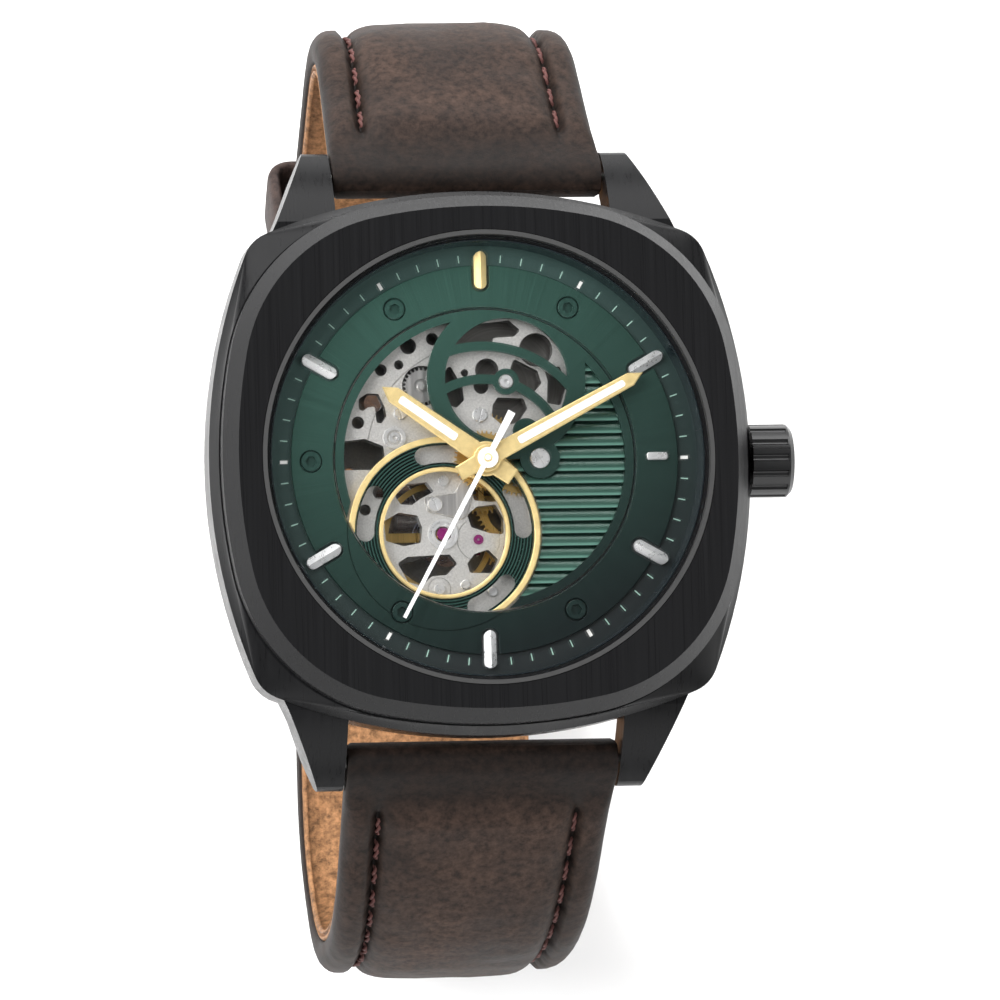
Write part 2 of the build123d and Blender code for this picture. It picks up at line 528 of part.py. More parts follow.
def make_train(barrel_module, barrel_phase):
    centre = (0, 0)
    # centre wheel: pinion meshes the barrel, wheel meshes the third pinion
    line = direction(BARREL_C, centre)
    leaf_phase = meshing_phase(CENTRE_LEAVES, BARREL_TEETH, barrel_phase, line)
    module = 2 * ARBOR_GAP / (CENTRE_TEETH + THIRD_LEAVES)
    to_third = direction(centre, THIRD_C)
    wheel = Pos(0, 0, 5.72) * up(spoked(CENTRE_TEETH, module, to_third, 1.1), 0.18)
    pinion = Pos(0, 0, 5.05) * up(toothed(CENTRE_LEAVES, barrel_module, leaf_phase, 0.8), 0.67)
    shaft = disc(0.48, 5.9, 8.0)
    save("centre_wheel", wheel + pinion + shaft - disc(0.3, 5.0, 8.1))
    # third wheel: pinion meshes the centre wheel, wheel meshes the fourth pinion and the sweep pinion
    leaf_phase = meshing_phase(THIRD_LEAVES, CENTRE_TEETH, to_third, to_third)
    module_b = 2 * ARBOR_GAP / (THIRD_TEETH + FOURTH_LEAVES)
    to_fourth = direction(THIRD_C, FOURTH_C)
    wheel = Pos(0, 0, 4.7) * up(spoked(THIRD_TEETH, module_b, to_fourth, 0.9), 0.18)
    pinion = Pos(0, 0, 5.5) * up(toothed(THIRD_LEAVES, module, leaf_phase, 0.8), 0.6)
    shaft = disc(0.22, 3.45, 6.6) + disc(0.08, 2.7, 7.3)
    save("third_wheel", Pos(*THIRD_C) * (wheel + pinion + shaft))
    # fourth wheel: pinion meshes the third wheel, wheel meshes the escape pinion
    leaf_phase = meshing_phase(FOURTH_LEAVES, THIRD_TEETH, to_fourth, to_fourth)
    gap = hypot(FOURTH_C[0] - ESCAPE_C[0], FOURTH_C[1] - ESCAPE_C[1])
    module_c = 2 * gap / (FOURTH_TEETH + ESCAPE_LEAVES)
    to_escape = direction(FOURTH_C, ESCAPE_C)
    wheel = Pos(0, 0, 4.1) * up(spoked(FOURTH_TEETH, module_c, to_escape, 0.8), 0.18)
    pinion = Pos(0, 0, 4.4) * up(toothed(FOURTH_LEAVES, module_b, leaf_phase, 0.8), 0.8)
    save("fourth_wheel", Pos(*FOURTH_C) * (wheel + pinion + shaft))
    # escape wheel: pinion meshes the fourth wheel, hooked teeth face the pallet stones
    leaf_phase = meshing_phase(ESCAPE_LEAVES, FOURTH_TEETH, to_escape, to_escape)
    wheel = Pos(0, 0, 5.3) * up(escape_outline(), 0.15)
    pinion = Pos(0, 0, 3.9) * up(toothed(ESCAPE_LEAVES, module_c, leaf_phase, 0.8), 0.6)
    slim = disc(0.15, 3.45, 6.6) + disc(0.08, 2.7, 7.3)
    save("escape_wheel", Pos(*ESCAPE_C) * (wheel + pinion + slim))
    # sweep seconds: the pinion stands on the hands' axis and meshes the third wheel
    line = direction(THIRD_C, centre)
    leaf_phase = meshing_phase(FOURTH_LEAVES, THIRD_TEETH, to_fourth, line)
    pinion = Pos(0, 0, 4.45) * up(toothed(FOURTH_LEAVES, module_b, leaf_phase, 0.8), 0.55)
    return pinion + disc(0.2, 2.7, 10.5)


def escape_outline():
    """Fifteen pointed club teeth on a thin spoked rim."""
    outer, root = 1.62, 1.25
    points = []
    for i in range(ESCAPE_TEETH):
        a = i * 360 / ESCAPE_TEETH
        points += [polar(root, a), polar(outer, a + 8), polar(outer - 0.05, a + 11.5), polar(root, a + 8)]
    wheel = Polygon(*points, align=None) - (Circle(0.95) - Circle(0.4))
    for i in range(4):
        wheel += Rot(0, 0, 90 * i) * Pos(0.65, 0) * Rectangle(0.75, 0.22)
    return wheel


def make_escapement():
    to_balance = direction(PALLET_C, BALANCE_C)
    to_escape = direction(PALLET_C, ESCAPE_C)
    lever_end = polar(2.15, to_balance, PALLET_C)
    stones_at = [polar(1.02, to_escape + side * 62, PALLET_C) for side in (1, -1)]
    outline = bar(PALLET_C, lever_end, 0.24) + circle_at(0.4, PALLET_C)
    for place in stones_at:
        outline += bar(PALLET_C, place, 0.3)
    outline += Pos(*lever_end) * Rot(0, 0, to_balance) * Pos(0.1, 0) * Rectangle(0.4, 0.7)
    outline -= Pos(*lever_end) * Rot(0, 0, to_balance) * Pos(0.25, 0) * Rectangle(0.4, 0.3)
    fork = plate(outline, 5.2, 5.42) + disc(0.09, 4.8, 7.55, PALLET_C)
    save("pallet_fork", fork)
    rim = circle_at(4.45, BALANCE_C) - circle_at(4.0, BALANCE_C)
    rim += Pos(*BALANCE_C) * Rectangle(8.2, 0.75) + circle_at(0.7, BALANCE_C)
    wheel = plate(rim, 4.2, 4.6)
    staff = disc(0.25, 3.5, 6.4, BALANCE_C) + disc(0.07, 2.75, 7.55, BALANCE_C)
    staff += disc(0.5, 5.0, 5.15, BALANCE_C)
    save("balance_wheel", wheel + staff)
    # hairspring: flat coils joined into one spiral, with its collet and stud
    pitch, turns, thick = 0.3, 6, 0.05
    coils = ring(0.36, 0.25, 3.8, 4.0, BALANCE_C)
    for i in range(turns):
        r = 0.55 + pitch * i
        coils += ring(r + thick, r, 3.85, 3.98, BALANCE_C)
        side = 1 if i % 2 else -1
        link_x = BALANCE_C[0] + side * (r - pitch / 2 + thick / 2)
        coils += Pos(link_x, BALANCE_C[1], 3.915) * Box(pitch + thick, 0.05, 0.13)
    save("hairspring", coils)


def make_winding():
    to_crown = direction(BARREL_C, CROWN_WHEEL_C)
    wheel = toothed(RATCHET_TEETH, WINDING_MODULE, to_crown) - Rectangle(1.02, 1.02)
    save("ratchet_wheel", Pos(*BARREL_C, RATCHET_BOTTOM) * up(wheel, RATCHET_TOP - RATCHET_BOTTOM))
    phase = meshing_phase(CROWN_TEETH, RATCHET_TEETH, to_crown, to_crown)
    crown = Pos(0, 0, RATCHET_BOTTOM) * up(toothed(CROWN_TEETH, WINDING_MODULE, phase), 0.25)
    crown += ring(2.75, 2.35, RATCHET_TOP, 3.25) + disc(0.5, RATCHET_TOP, 3.6)
    for i in range(24):
        crown -= Rot(0, 0, 15 * i) * Pos(2.55, 0, 3.2) * Box(0.6, 0.28, 0.3)
    save("crown_wheel", Pos(*CROWN_WHEEL_C) * crown)
    to_reduction = direction(BARREL_C, REDUCTION_C)
    phase = meshing_phase(REDUCTION_TEETH, RATCHET_TEETH, to_crown, to_reduction)
    pinion = Pos(0, 0, RATCHET_BOTTOM) * up(toothed(REDUCTION_TEETH, WINDING_MODULE, phase, 0.75), 0.25)
    upper = Pos(0, 0, 6.9) * up(toothed(26, 0.11) - Circle(0.62), 0.25)
    shaft = disc(0.34, RATCHET_TOP, 6.9) + ring(0.75, 0.3, 6.7, 6.9) + disc(0.3, 6.9, 7.3)
    upper += ring(0.75, 0.3, 6.7, 6.95)
    save("reduction_wheel", Pos(*REDUCTION_C) * (pinion + upper + shaft))
    pitch_r = RATCHET_TEETH * WINDING_MODULE / 2
    pawl = bar(CLICK_C, polar(pitch_r + 0.52, 150, BARREL_C), 0.5) + circle_at(0.6, CLICK_C)
    pin = disc(0.3, RATCHET_TOP, COCK_BOTTOM - 0.02, CLICK_C)
    save("click", plate(pawl, RATCHET_BOTTOM, RATCHET_TOP) + pin)


def make_rotor():
    plate_sketch = (Circle(12.4) - Circle(10.4)) & Pos(0, -6.3) * Rectangle(26, 12.6)
    fan = Polygon((0, 1.5), (-10.5, -0.4), (-10.5, -12), (10.5, -12), (10.5, -0.4), align=None)
    web = (Circle(10.5) - Circle(2.0)) & fan
    for start, end in ((200, 250), (290, 340)):
        web -= arc_slot(6.9, 3.0, start, end)
    body = plate(plate_sketch, 1.5, 2.1) + plate(web + (Circle(2.6) - Circle(1.3)), 1.75, 2.05)
    save("rotor", body)
    save("rotor_bearing", disc(1.25, 1.7, 2.2) - disc(0.25, 1, 3))


def make_motion_work():
    gap = hypot(*MINUTE_C)
    module_a = 2 * gap / (CANNON_LEAVES + MINUTE_TEETH)
    module_b = 2 * gap / (MINUTE_LEAVES + HOUR_TEETH)
    line = direction((0, 0), MINUTE_C)
    cannon = Pos(0, 0, 7.56) * up(toothed(CANNON_LEAVES, module_a, line, 0.8), 0.24)
    cannon += disc(0.6, 7.75, 9.95)
    save("cannon_pinion", cannon - disc(0.5, 7.5, 8.05) - disc(0.24, 8.0, 10.1))
    phase = meshing_phase(MINUTE_TEETH, CANNON_LEAVES, line, line)
    wheel = Pos(0, 0, 7.6) * up(spoked(MINUTE_TEETH, module_a, phase, 0.7, 3), 0.12)
    pinion = Pos(0, 0, 7.72) * up(toothed(MINUTE_LEAVES, module_b, line + 180, 0.8), 0.24)
    save("minute_wheel", Pos(*MINUTE_C) * (wheel + pinion + disc(0.25, 7.5, 7.72)))
    hour_phase = meshing_phase(HOUR_TEETH, MINUTE_LEAVES, line + 180, line + 180)
    tube = Pos(0, 0, 7.82) * up(toothed(HOUR_TEETH, module_b, hour_phase), 0.12)
    tube += disc(0.85, 7.82, 9.5)
    save("hour_wheel", tube - disc(0.64, 7.7, 9.6))


def hand(angle, length, tip_width, hub_width, tail, tail_width, z0, z1, hub, bore):
    """Flat hand with bevelled edges, a pointed tip and a squared tail."""
    tip, root, end = tip_width / 2, hub_width / 2, tail_width / 2
    shoulder = length - 1.1
    blade = Polygon((-root, 0), (root, 0), (tip, shoulder), (0, length), (-tip, shoulder), align=None)
    counter = Polygon((-end, -tail), (end, -tail), (root, 0.1), (-root, 0.1), align=None)
    blade = plate(blade + counter + Circle(hub), z0, z1)
    blade = chamfer(blade.edges().group_by(Axis.Z)[-1], 0.09)
    return Rot(0, 0, -angle) * (blade - disc(bore, z0 - 0.1, z1 + 0.1))


def make_hands(sweep_pinion):
    save("hour_hand", hand(*HOUR, 9.3, 9.5, 1.4, 0.85))
    save("minute_hand", hand(*MINUTE, 9.75, 9.95, 1.1, 0.6))
    angle, length, tip_width, hub_width, tail, tail_width = SECOND
    tip, waist, end = tip_width / 2, hub_width / 2, tail_width / 2
    points = (-end, -tail), (end, -tail), (waist, 0), (tip, length), (-tip, length), (-waist, 0)
    blade = plate(Polygon(*points, align=None) + Circle(0.82), 10.2, 10.35)
    save("seconds_hand", Rot(0, 0, -angle) * blade + sweep_pinion)


# ---------------------------------------------------------------- strap
def walk(start, runs):
    """Stations (y, z, heading) along (radius, amount) runs.

    Radius 0 is a straight of that many mm; any other radius bends inward by that many degrees.
    """
    y, z, heading = start
    stations = [start]
    for radius, amount in runs:
        h = radians(heading)
        if radius:
            heading -= amount
            y += radius * (sin(h) - sin(radians(heading)))
            z += radius * (cos(radians(heading)) - cos(h))
        else:
            y += amount * cos(h)
            z += amount * sin(h)
        stations.append((y, z, heading))
    return stations


def station_at(start, runs, length):
    """Station on the middle line, that many mm from the start."""
    station = start
    for radius, amount in runs:
        part = min(length, radius * radians(amount) if radius else amount)
        station = walk(station, [(radius, degrees(part / radius) if radius else part)])[-1]
        length -= part
    return station


def offset_point(station, offset):
    """Point beside a station; + is away from the wrist."""
    y, z, heading = station
    return (y - offset * sin(radians(heading)), z + offset * cos(radians(heading)))


def offset_edges(start, runs, offset):
    edges = []
    station = start
    for radius, amount in runs:
        end = walk(station, [(radius, amount)])[-1]
        middle = walk(station, [(radius, amount / 2)])[-1]
        points = [offset_point(s, offset) for s in (station, middle, end)]
        edges.append(ThreePointArc(*points) if radius else Line(points[0], points[2]))
        station = end
    return edges


def layer(start, runs, offset_in, offset_out):
    """Strip of the loop between two offsets, as a Y-Z sketch."""
    end = walk(start, runs)[-1]
    caps = [Line(offset_point(s, offset_in), offset_point(s, offset_out)) for s in (start, end)]
    return make_face(offset_edges(start, runs, offset_out) + offset_edges(start, runs, offset_in) + caps)


def side_runs(slope, first, shoulder_r, lean, foot_r, flat_end):
    """Start and runs from the lug bar to flat_end; the straight before the foot takes up the height."""
    start = (BAR_Y, BAR_Z, -slope)
    runs = [(0, first), (shoulder_r, 90 + lean - slope)]
    drop = walk(start, runs)[-1][1] - BOTTOM_Z - foot_r * (1 - sin(radians(lean)))
    runs += [(0, drop / cos(radians(lean))), (foot_r, 90 - lean)]
    return start, runs + [(0, walk(start, runs)[-1][0] - flat_end)]


def across(sketch, half_width):
    return extrude(Plane.YZ * sketch, half_width, both=True)


def taper(body):
    """Narrow the strap from the lugs to the buckle."""
    right = ((STRAP_WIDTH / 2, 6), (STRAP_WIDTH / 2, 0), (10.3, -18), (10.0, -34), (10.0, -60))
    left = [(-x, z) for x, z in reversed(right)]
    return body & extrude(Plane.XZ * Polygon(*right, *left, align=None), 60, both=True)


def mirrored(sketch):
    """A Y-Z sketch moved from the 12 o'clock side to the 6 o'clock side."""
    return mirror(sketch, Plane.YZ)


def make_strap():
    bar_at, buckle_at = (BAR_Y, BAR_Z), (BUCKLE_Y, BUCKLE_Z)
    bar_hole = circle_at(BAR_HOLE_R, bar_at)
    roll = circle_at(ROLL_R, bar_at)
    lining_end = circle_at(ROLL_R + 0.02, bar_at)
    half_width = STRAP_WIDTH / 2
    # 12 o'clock half: its far end is rolled round the buckle bar
    start, runs = side_runs(*SIDE_12, BUCKLE_Y)
    leather = layer(start, runs, LINING_OUT, LEATHER_OUT) + roll + circle_at(1.75, buckle_at)
    leather -= bar_hole + circle_at(0.9, buckle_at)
    slot = Pos(0, *buckle_at) * Box(2.6, 6.5, 6)
    save("strap_12", taper(across(leather, half_width)) - slot)
    start, runs = side_runs(*SIDE_12, BUCKLE_Y + 2.2)
    lining = layer(start, runs, LINING_IN, LINING_OUT) - lining_end
    lining_12 = taper(across(lining, half_width)) - slot
    # tail: the end of the 6 o'clock half, over the 12 o'clock half
    foot = walk(start, runs)[3]
    tail_start = walk(foot, [(0, -TAIL_RUN)])[-1]
    bend_end = walk(start, runs)[4]
    tail_runs = [(0, TAIL_RUN), runs[3], (0, bend_end[0] - CROSSING[1])]
    tail = layer(tail_start, tail_runs, TAIL_IN, TAIL_OUT)
    # 6 o'clock half: runs through the buckle, then drops to the tail
    drop_start, drop_end = CROSSING
    drop = Polygon(
        (drop_start, BOTTOM_Z - LINING_OUT), (drop_end, BOTTOM_Z - TAIL_IN),
        (drop_end, BOTTOM_Z - TAIL_OUT), (drop_start, BOTTOM_Z - LEATHER_OUT), align=None,
    )
    start, runs = side_runs(*SIDE_6, -drop_start)
    leather = mirrored(layer(start, runs, LINING_OUT, LEATHER_OUT) + roll - bar_hole)
    body = taper(across(leather + drop + tail, half_width))
    body -= Pos(0, -4, -40) * Box(2.6, 10, 8)
    for i in range(4):
        hole = station_at(tail_start, tail_runs, 7 + 6 * i)
        centre = offset_point(hole, (TAIL_IN + TAIL_OUT) / 2)
        body -= Pos(0, *centre) * Rot(hole[2], 0, 0) * Cylinder(0.9, 6)
    save("strap_6", body)
    lining = mirrored(layer(start, runs, LINING_IN, LINING_OUT) - lining_end)
    save("strap_linings", lining_12, taper(across(lining, half_width)))


def make_keepers():
    """The fixed keeper lies on the flat bottom; the free one sits on the foot bend."""
    height = KEEPER_OUT - KEEPER_IN
    section = Rectangle(24.0, height + 2 * KEEPER_WALL) - Rectangle(21.4, height)
    loop = extrude(section, KEEPER_LENGTH / 2, both=True)
    start, runs = side_runs(*SIDE_12, BUCKLE_Y)
    fixed = (FIXED_KEEPER_Y, BOTTOM_Z, -180)
    free = walk(walk(start, runs)[3], [(SIDE_12[-1], FREE_KEEPER_TURN)])[-1]
    for name, station in (("keeper_fixed", fixed), ("keeper_free", free)):
        centre = offset_point(station, (KEEPER_IN + KEEPER_OUT) / 2)
        save(name, Pos(0, *centre) * Rot(station[2] + 90, 0, 0) * loop)


def make_buckle():
    front_y, front_depth, front_top = -12.2, 2.4, -41.0
    nose, heel = front_y - front_depth / 2, 3.0
    outline = Polyline(
        (heel, BUCKLE_Z + 1.4), (BUCKLE_Y, BUCKLE_Z + 1.6), (-1.0, BUCKLE_Z + 1.4), (nose, front_top),
        (nose, FLOOR_Z), (nose + 3.9, FLOOR_Z), (heel, BUCKLE_Z - 1.8), (heel, BUCKLE_Z + 1.4),
    )
    gap = extrude(Plane.YZ * Pos(-5, -40) * Rectangle(40, 20), 10.7, both=True)
    sides = across(make_face(outline), 12.6) - gap
    front = Pos(0, front_y, (front_top + FLOOR_Z) / 2) * Box(24.0, front_depth, front_top - FLOOR_Z)
    frame = sides + front
    frame -= Pos(0, BUCKLE_Y, BUCKLE_Z) * Rot(0, 90, 0) * Cylinder(0.85, 23.8)
    frame -= Pos(0, front_y, FLOOR_Z) * Box(2.2, 4, 4.4)
    save("buckle_frame", frame)
    pivot, tip = (BUCKLE_Y, BUCKLE_Z), (-13.0, FLOOR_Z + 0.75)
    tongue = across(bar(pivot, tip, 1.0), 0.85) + across(circle_at(1.45, pivot), 1.1)
    save("buckle_tongue", tongue - across(circle_at(0.84, pivot), 3))


def main():
    make_case_middle()
    make_bezel()
    make_crystal()
    make_gaskets()
    make_rehaut()
    make_case_back()
    make_crown_side()
    make_spring_bars()
    make_dial_plates()
    make_bridge_and_louvres()
    make_balance_ring()
    make_indices()
    make_screws()
    make_main_plate()
    make_jewels()
    make_cover_plate()
    make_train_bridge()
    make_movement_ring()
    barrel_module, barrel_phase = make_barrel()
    sweep_pinion = make_train(barrel_module, barrel_phase)
    make_escapement()
    make_winding()
    make_rotor()
    make_motion_work()
    make_hands(sweep_pinion)
    make_strap()
    make_keepers()
    make_buckle()


main()
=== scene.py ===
import json
import math
import bpy
import bmesh
from mathutils import Matrix, Vector, noise


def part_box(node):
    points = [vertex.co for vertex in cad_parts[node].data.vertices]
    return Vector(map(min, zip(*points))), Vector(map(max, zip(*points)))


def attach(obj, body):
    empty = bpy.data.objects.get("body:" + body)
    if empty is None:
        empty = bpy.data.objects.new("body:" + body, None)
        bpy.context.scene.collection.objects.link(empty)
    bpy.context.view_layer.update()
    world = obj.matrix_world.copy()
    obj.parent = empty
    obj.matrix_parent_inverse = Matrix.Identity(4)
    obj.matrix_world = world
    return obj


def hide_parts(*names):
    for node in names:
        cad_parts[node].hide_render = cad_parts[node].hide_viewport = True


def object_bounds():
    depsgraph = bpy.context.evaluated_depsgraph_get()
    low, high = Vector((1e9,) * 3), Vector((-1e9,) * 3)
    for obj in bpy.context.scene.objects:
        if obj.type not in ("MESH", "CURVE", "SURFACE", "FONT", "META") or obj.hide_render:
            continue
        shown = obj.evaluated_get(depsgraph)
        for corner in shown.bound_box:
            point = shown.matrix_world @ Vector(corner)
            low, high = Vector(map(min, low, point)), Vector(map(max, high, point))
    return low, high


# Skeleton wristwatch: padded leather strap, hand inlays, printed minute track and finishes.
# Lengths are written in millimetres and scaled by MM where they enter Blender.
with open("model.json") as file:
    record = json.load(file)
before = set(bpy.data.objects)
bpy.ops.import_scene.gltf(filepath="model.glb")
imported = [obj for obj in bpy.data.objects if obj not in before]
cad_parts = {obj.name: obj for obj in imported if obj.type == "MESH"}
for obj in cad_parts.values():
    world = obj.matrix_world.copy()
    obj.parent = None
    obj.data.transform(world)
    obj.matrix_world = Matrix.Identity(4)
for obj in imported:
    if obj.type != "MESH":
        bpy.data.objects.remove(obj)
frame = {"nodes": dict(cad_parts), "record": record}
cad_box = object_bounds()
MM = 0.001

# ---------------------------------------------------------------- dimensions shared with the CAD
BAR_Y, BAR_Z = 23.6, 1.8
SIDE_12 = (42, 12.4, 10.0, 35, 16.0)
SIDE_6 = (48, 12.0, 23.3, 0, 14.0)
BOTTOM_Z = -38.0
LINING_IN, LINING_OUT = -1.7, -0.7
ROLL_R = 1.6
TAIL_IN, TAIL_OUT, TAIL_RUN = 2.2, 4.6, 4.0
CROSSING = (-9.5, 1.0)
BUCKLE_Y, BUCKLE_Z = 1.5, -38.2
KEEPER_IN, KEEPER_OUT, KEEPER_WALL, KEEPER_LENGTH = -2.4, 4.9, 1.1, 5.5
KEEPER_HALF_WIDTH, KEEPER_CORNER_R, BAND_POINTS = 10.7, 1.6, 20
FIXED_KEEPER_Y, FREE_KEEPER_TURN = 8.0, 10
TAPER = ((6, 10.95), (0, 10.95), (-18, 10.3), (-34, 10.0), (-60, 10.0))
TRACK_TOP = 8.45
DIAL_WIDTH = 32
HOUR_ANGLE, MINUTE_ANGLE = 305.4, 62.2
HOUR_TOP, MINUTE_TOP, SECONDS_TOP = 9.5, 9.95, 10.35
BALANCE_C, PALLET_C, ESCAPE_C, BARREL_C = (-3.4, -5.83), (-0.55, -6.3), (1.75, -7.0), (1.9, 6.4)
PALLET_Z, PALLET_REACH, PALLET_SPREAD = 5.31, 1.02, 62

# ---------------------------------------------------------------- details of the leather
GROOVE = 2.9                # stitch groove, in from each edge
PAD_START, PAD_FULL = 2.2, 5.4          # where the padding starts to rise, and stands full
PAD_END_12, PAD_END_6, PAD_FADE = 20, 14, 9
HOLE_R, HOLE_PITCH, FIRST_HOLE, HOLES = 0.9, 6, 7, 4
STITCH_START, STITCH_PITCH, STITCH_LENGTH, THREAD_R = 4.7, 2.8, 2.2, 0.17
STRAND_SPREAD, STRAND_TWIST = 0.13, 2.6 * math.pi


# ---------------------------------------------------------------- mesh helpers
def add_object(name, verts, faces, smooth=True):
    mesh = bpy.data.meshes.new(name)
    mesh.from_pydata([Vector(v) * MM for v in verts], [], faces)
    edit = bmesh.new()
    edit.from_mesh(mesh)
    bmesh.ops.recalc_face_normals(edit, faces=edit.faces)
    edit.to_mesh(mesh)
    edit.free()
    mesh.polygons.foreach_set("use_smooth", [smooth] * len(mesh.polygons))
    obj = bpy.data.objects.new(name, mesh)
    bpy.context.scene.collection.objects.link(obj)
    return obj


def sweep(rings, closed=False):
    """Vertices and faces of a skin over rings with the same number of points."""
    verts = [p for r in rings for p in r]
    n, m = len(rings[0]), len(rings)
    faces = []
    for i in range(m if closed else m - 1):
        a, b = i * n, (i + 1) % m * n
        faces += [(a + j, a + (j + 1) % n, b + (j + 1) % n, b + j) for j in range(n)]
    if not closed:
        faces += [tuple(range(n)), tuple(reversed(range((m - 1) * n, m * n)))]
    return verts, faces


def apply_modifiers(obj):
    done = bpy.data.meshes.new_from_object(obj.evaluated_get(bpy.context.evaluated_depsgraph_get()))
    obj.modifiers.clear()
    obj.data = done


def cut(obj, cutters):
    """Boolean cut, applied; the cutters are deleted."""
    for cutter in cutters:
        step = obj.modifiers.new("cut", "BOOLEAN")
        step.operation, step.solver, step.object = "DIFFERENCE", "EXACT", cutter
    bpy.context.view_layer.update()
    apply_modifiers(obj)
    for cutter in cutters:
        bpy.data.objects.remove(cutter)


def prism(name, outline, z0, z1, place=Matrix.Identity(4)):
    n = len(outline)
    verts = [place @ Vector((x, y, z)) for z in (z0, z1) for x, y in outline]
    faces = [tuple(reversed(range(n))), tuple(range(n, 2 * n))]
    faces += [(i, (i + 1) % n, n + (i + 1) % n, n + i) for i in range(n)]
    return add_object(name, verts, faces, smooth=False)


def smooth_step(x, low, high):
    t = min(1.0, max(0.0, (x - low) / (high - low)))
    return t * t * (3 - 2 * t)


def piece(obj, body, slot_name):
    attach(obj, body)
    obj.data.materials.clear()
    obj.data.materials.append(MATERIALS[slot_name])
    return obj


# ---------------------------------------------------------------- material helpers
class Finish:
    """A node material around one Principled shader."""

    def __init__(self, name, roughness=0.5, metallic=0.0, **sockets):
        self.material = bpy.data.materials.new(name)
        self.material.use_nodes = True
        self.tree = self.material.node_tree
        self.shader = self.tree.nodes["Principled BSDF"]
        self.shader.inputs["Roughness"].default_value = roughness
        self.shader.inputs["Metallic"].default_value = metallic
        for key, value in sockets.items():
            self.shader.inputs[key.replace("_", " ")].default_value = value
        self.place = self.node("ShaderNodeTexCoord").outputs["Object"]

    def node(self, kind, **settings):
        made = self.tree.nodes.new(kind)
        for key, value in settings.items():
            setattr(made, key, value)
        return made

    def link(self, source, target):
        self.tree.links.new(source, target)

    def math(self, operation, a, b=None):
        made = self.node("ShaderNodeMath", operation=operation)
        for i, value in enumerate((a, b)):
            if isinstance(value, (int, float)):
                made.inputs[i].default_value = value
            elif value is not None:
                self.link(value, made.inputs[i])
        return made.outputs[0]

    def stretched(self, scale):
        made = self.node("ShaderNodeMapping")
        made.inputs["Scale"].default_value = scale
        self.link(self.place, made.inputs["Vector"])
        return made.outputs[0]

    def rays(self):
        """Coordinates that are the same all along each ray from the hands' axis."""
        flat = self.node("ShaderNodeVectorMath", operation="MULTIPLY")
        flat.inputs[1].default_value = (1, 1, 0)
        self.link(self.place, flat.inputs[0])
        unit = self.node("ShaderNodeVectorMath", operation="NORMALIZE")
        self.link(flat.outputs[0], unit.inputs[0])
        return unit.outputs[0]

    def circles(self, centre):
        """Coordinates that are the same all round each circle about a centre."""
        flat = self.node("ShaderNodeVectorMath", operation="MULTIPLY_ADD")
        flat.inputs[1].default_value = (1, 1, 0)
        flat.inputs[2].default_value = (-centre[0] * MM, -centre[1] * MM, 0)
        self.link(self.place, flat.inputs[0])
        length = self.node("ShaderNodeVectorMath", operation="LENGTH")
        self.link(flat.outputs[0], length.inputs[0])
        joined = self.node("ShaderNodeCombineXYZ")
        self.link(length.outputs["Value"], joined.inputs["X"])
        return joined.outputs[0]

    def noise(self, vector, scale, detail=4.0, roughness=0.55):
        made = self.node("ShaderNodeTexNoise")
        made.inputs["Scale"].default_value = scale
        made.inputs["Detail"].default_value = detail
        made.inputs["Roughness"].default_value = roughness
        self.link(vector, made.inputs["Vector"])
        return made.outputs["Fac"]

    def ramp(self, factor, *stops):
        made = self.node("ShaderNodeValToRGB")
        elements = made.color_ramp.elements
        while len(elements) < len(stops):
            elements.new(0.5)
        for element, (position, color) in zip(elements, stops):
            element.position = position
            element.color = (*color, 1)
        self.link(factor, made.inputs["Fac"])
        return made.outputs["Color"]

    def mix(self, factor, a, b, blend="MIX"):
        made = self.node("ShaderNodeMix", data_type="RGBA", blend_type=blend)
        for socket, value in ((made.inputs["Factor"], factor), (made.inputs[6], a), (made.inputs[7], b)):
            if isinstance(value, (int, float)):
                socket.default_value = value
            elif isinstance(value, tuple):
                socket.default_value = (*value, 1)
            else:
                self.link(value, socket)
        return made.outputs[2]

    def span(self, factor, low, high):
        made = self.node("ShaderNodeMapRange")
        made.inputs["To Min"].default_value = low
        made.inputs["To Max"].default_value = high
        made.inputs["From Min"].default_value = 0.3
        made.inputs["From Max"].default_value = 0.7
        self.link(factor, made.inputs["Value"])
        return made.outputs[0]

    def component(self, vector, axis):
        split = self.node("ShaderNodeSeparateXYZ")
        self.link(vector, split.inputs[0])
        return split.outputs[axis]

    def sawtooth(self, distance, start, pitch):
        """0 to 1 over each pitch, in mm, along a distance in metres."""
        scaled = self.math("MULTIPLY_ADD", distance, 1 / (pitch * MM))
        scaled.node.inputs[2].default_value = -start / pitch
        return self.math("FRACT", scaled)

    def painted_wall_shade(self, side):
        """Painted shade: grey factor, side on upright faces, 1 on level ones."""
        normal = self.node("ShaderNodeTexCoord").outputs["Normal"]
        level = self.math("ABSOLUTE", self.component(normal, "Z"))
        return self.ramp(level, (0.35, (side,) * 3), (0.8, (1.0,) * 3))

    def depth(self, low, high, dark):
        """Painted shade: grey factor, dark at a low level, 1 at a high one."""
        height = self.component(self.place, "Z")
        share = self.math("MULTIPLY_ADD", height, 1 / ((high - low) * MM))
        share.node.inputs[2].default_value = -low / (high - low)
        return self.ramp(share, (0.0, (dark,) * 3), (1.0, (1.0,) * 3))

    def color(self, source):
        self.link(source, self.shader.inputs["Base Color"])

    def roughness(self, source):
        self.link(source, self.shader.inputs["Roughness"])

    def bump(self, height, strength, distance):
        made = self.node("ShaderNodeBump")
        made.inputs["Strength"].default_value = strength
        made.inputs["Distance"].default_value = distance * MM
        self.link(height, made.inputs["Height"])
        previous = self.shader.inputs["Normal"]
        if previous.is_linked:
            self.link(previous.links[0].from_socket, made.inputs["Normal"])
        self.link(made.outputs[0], previous)


def shaded(color, factor):
    return tuple(c * factor for c in color)


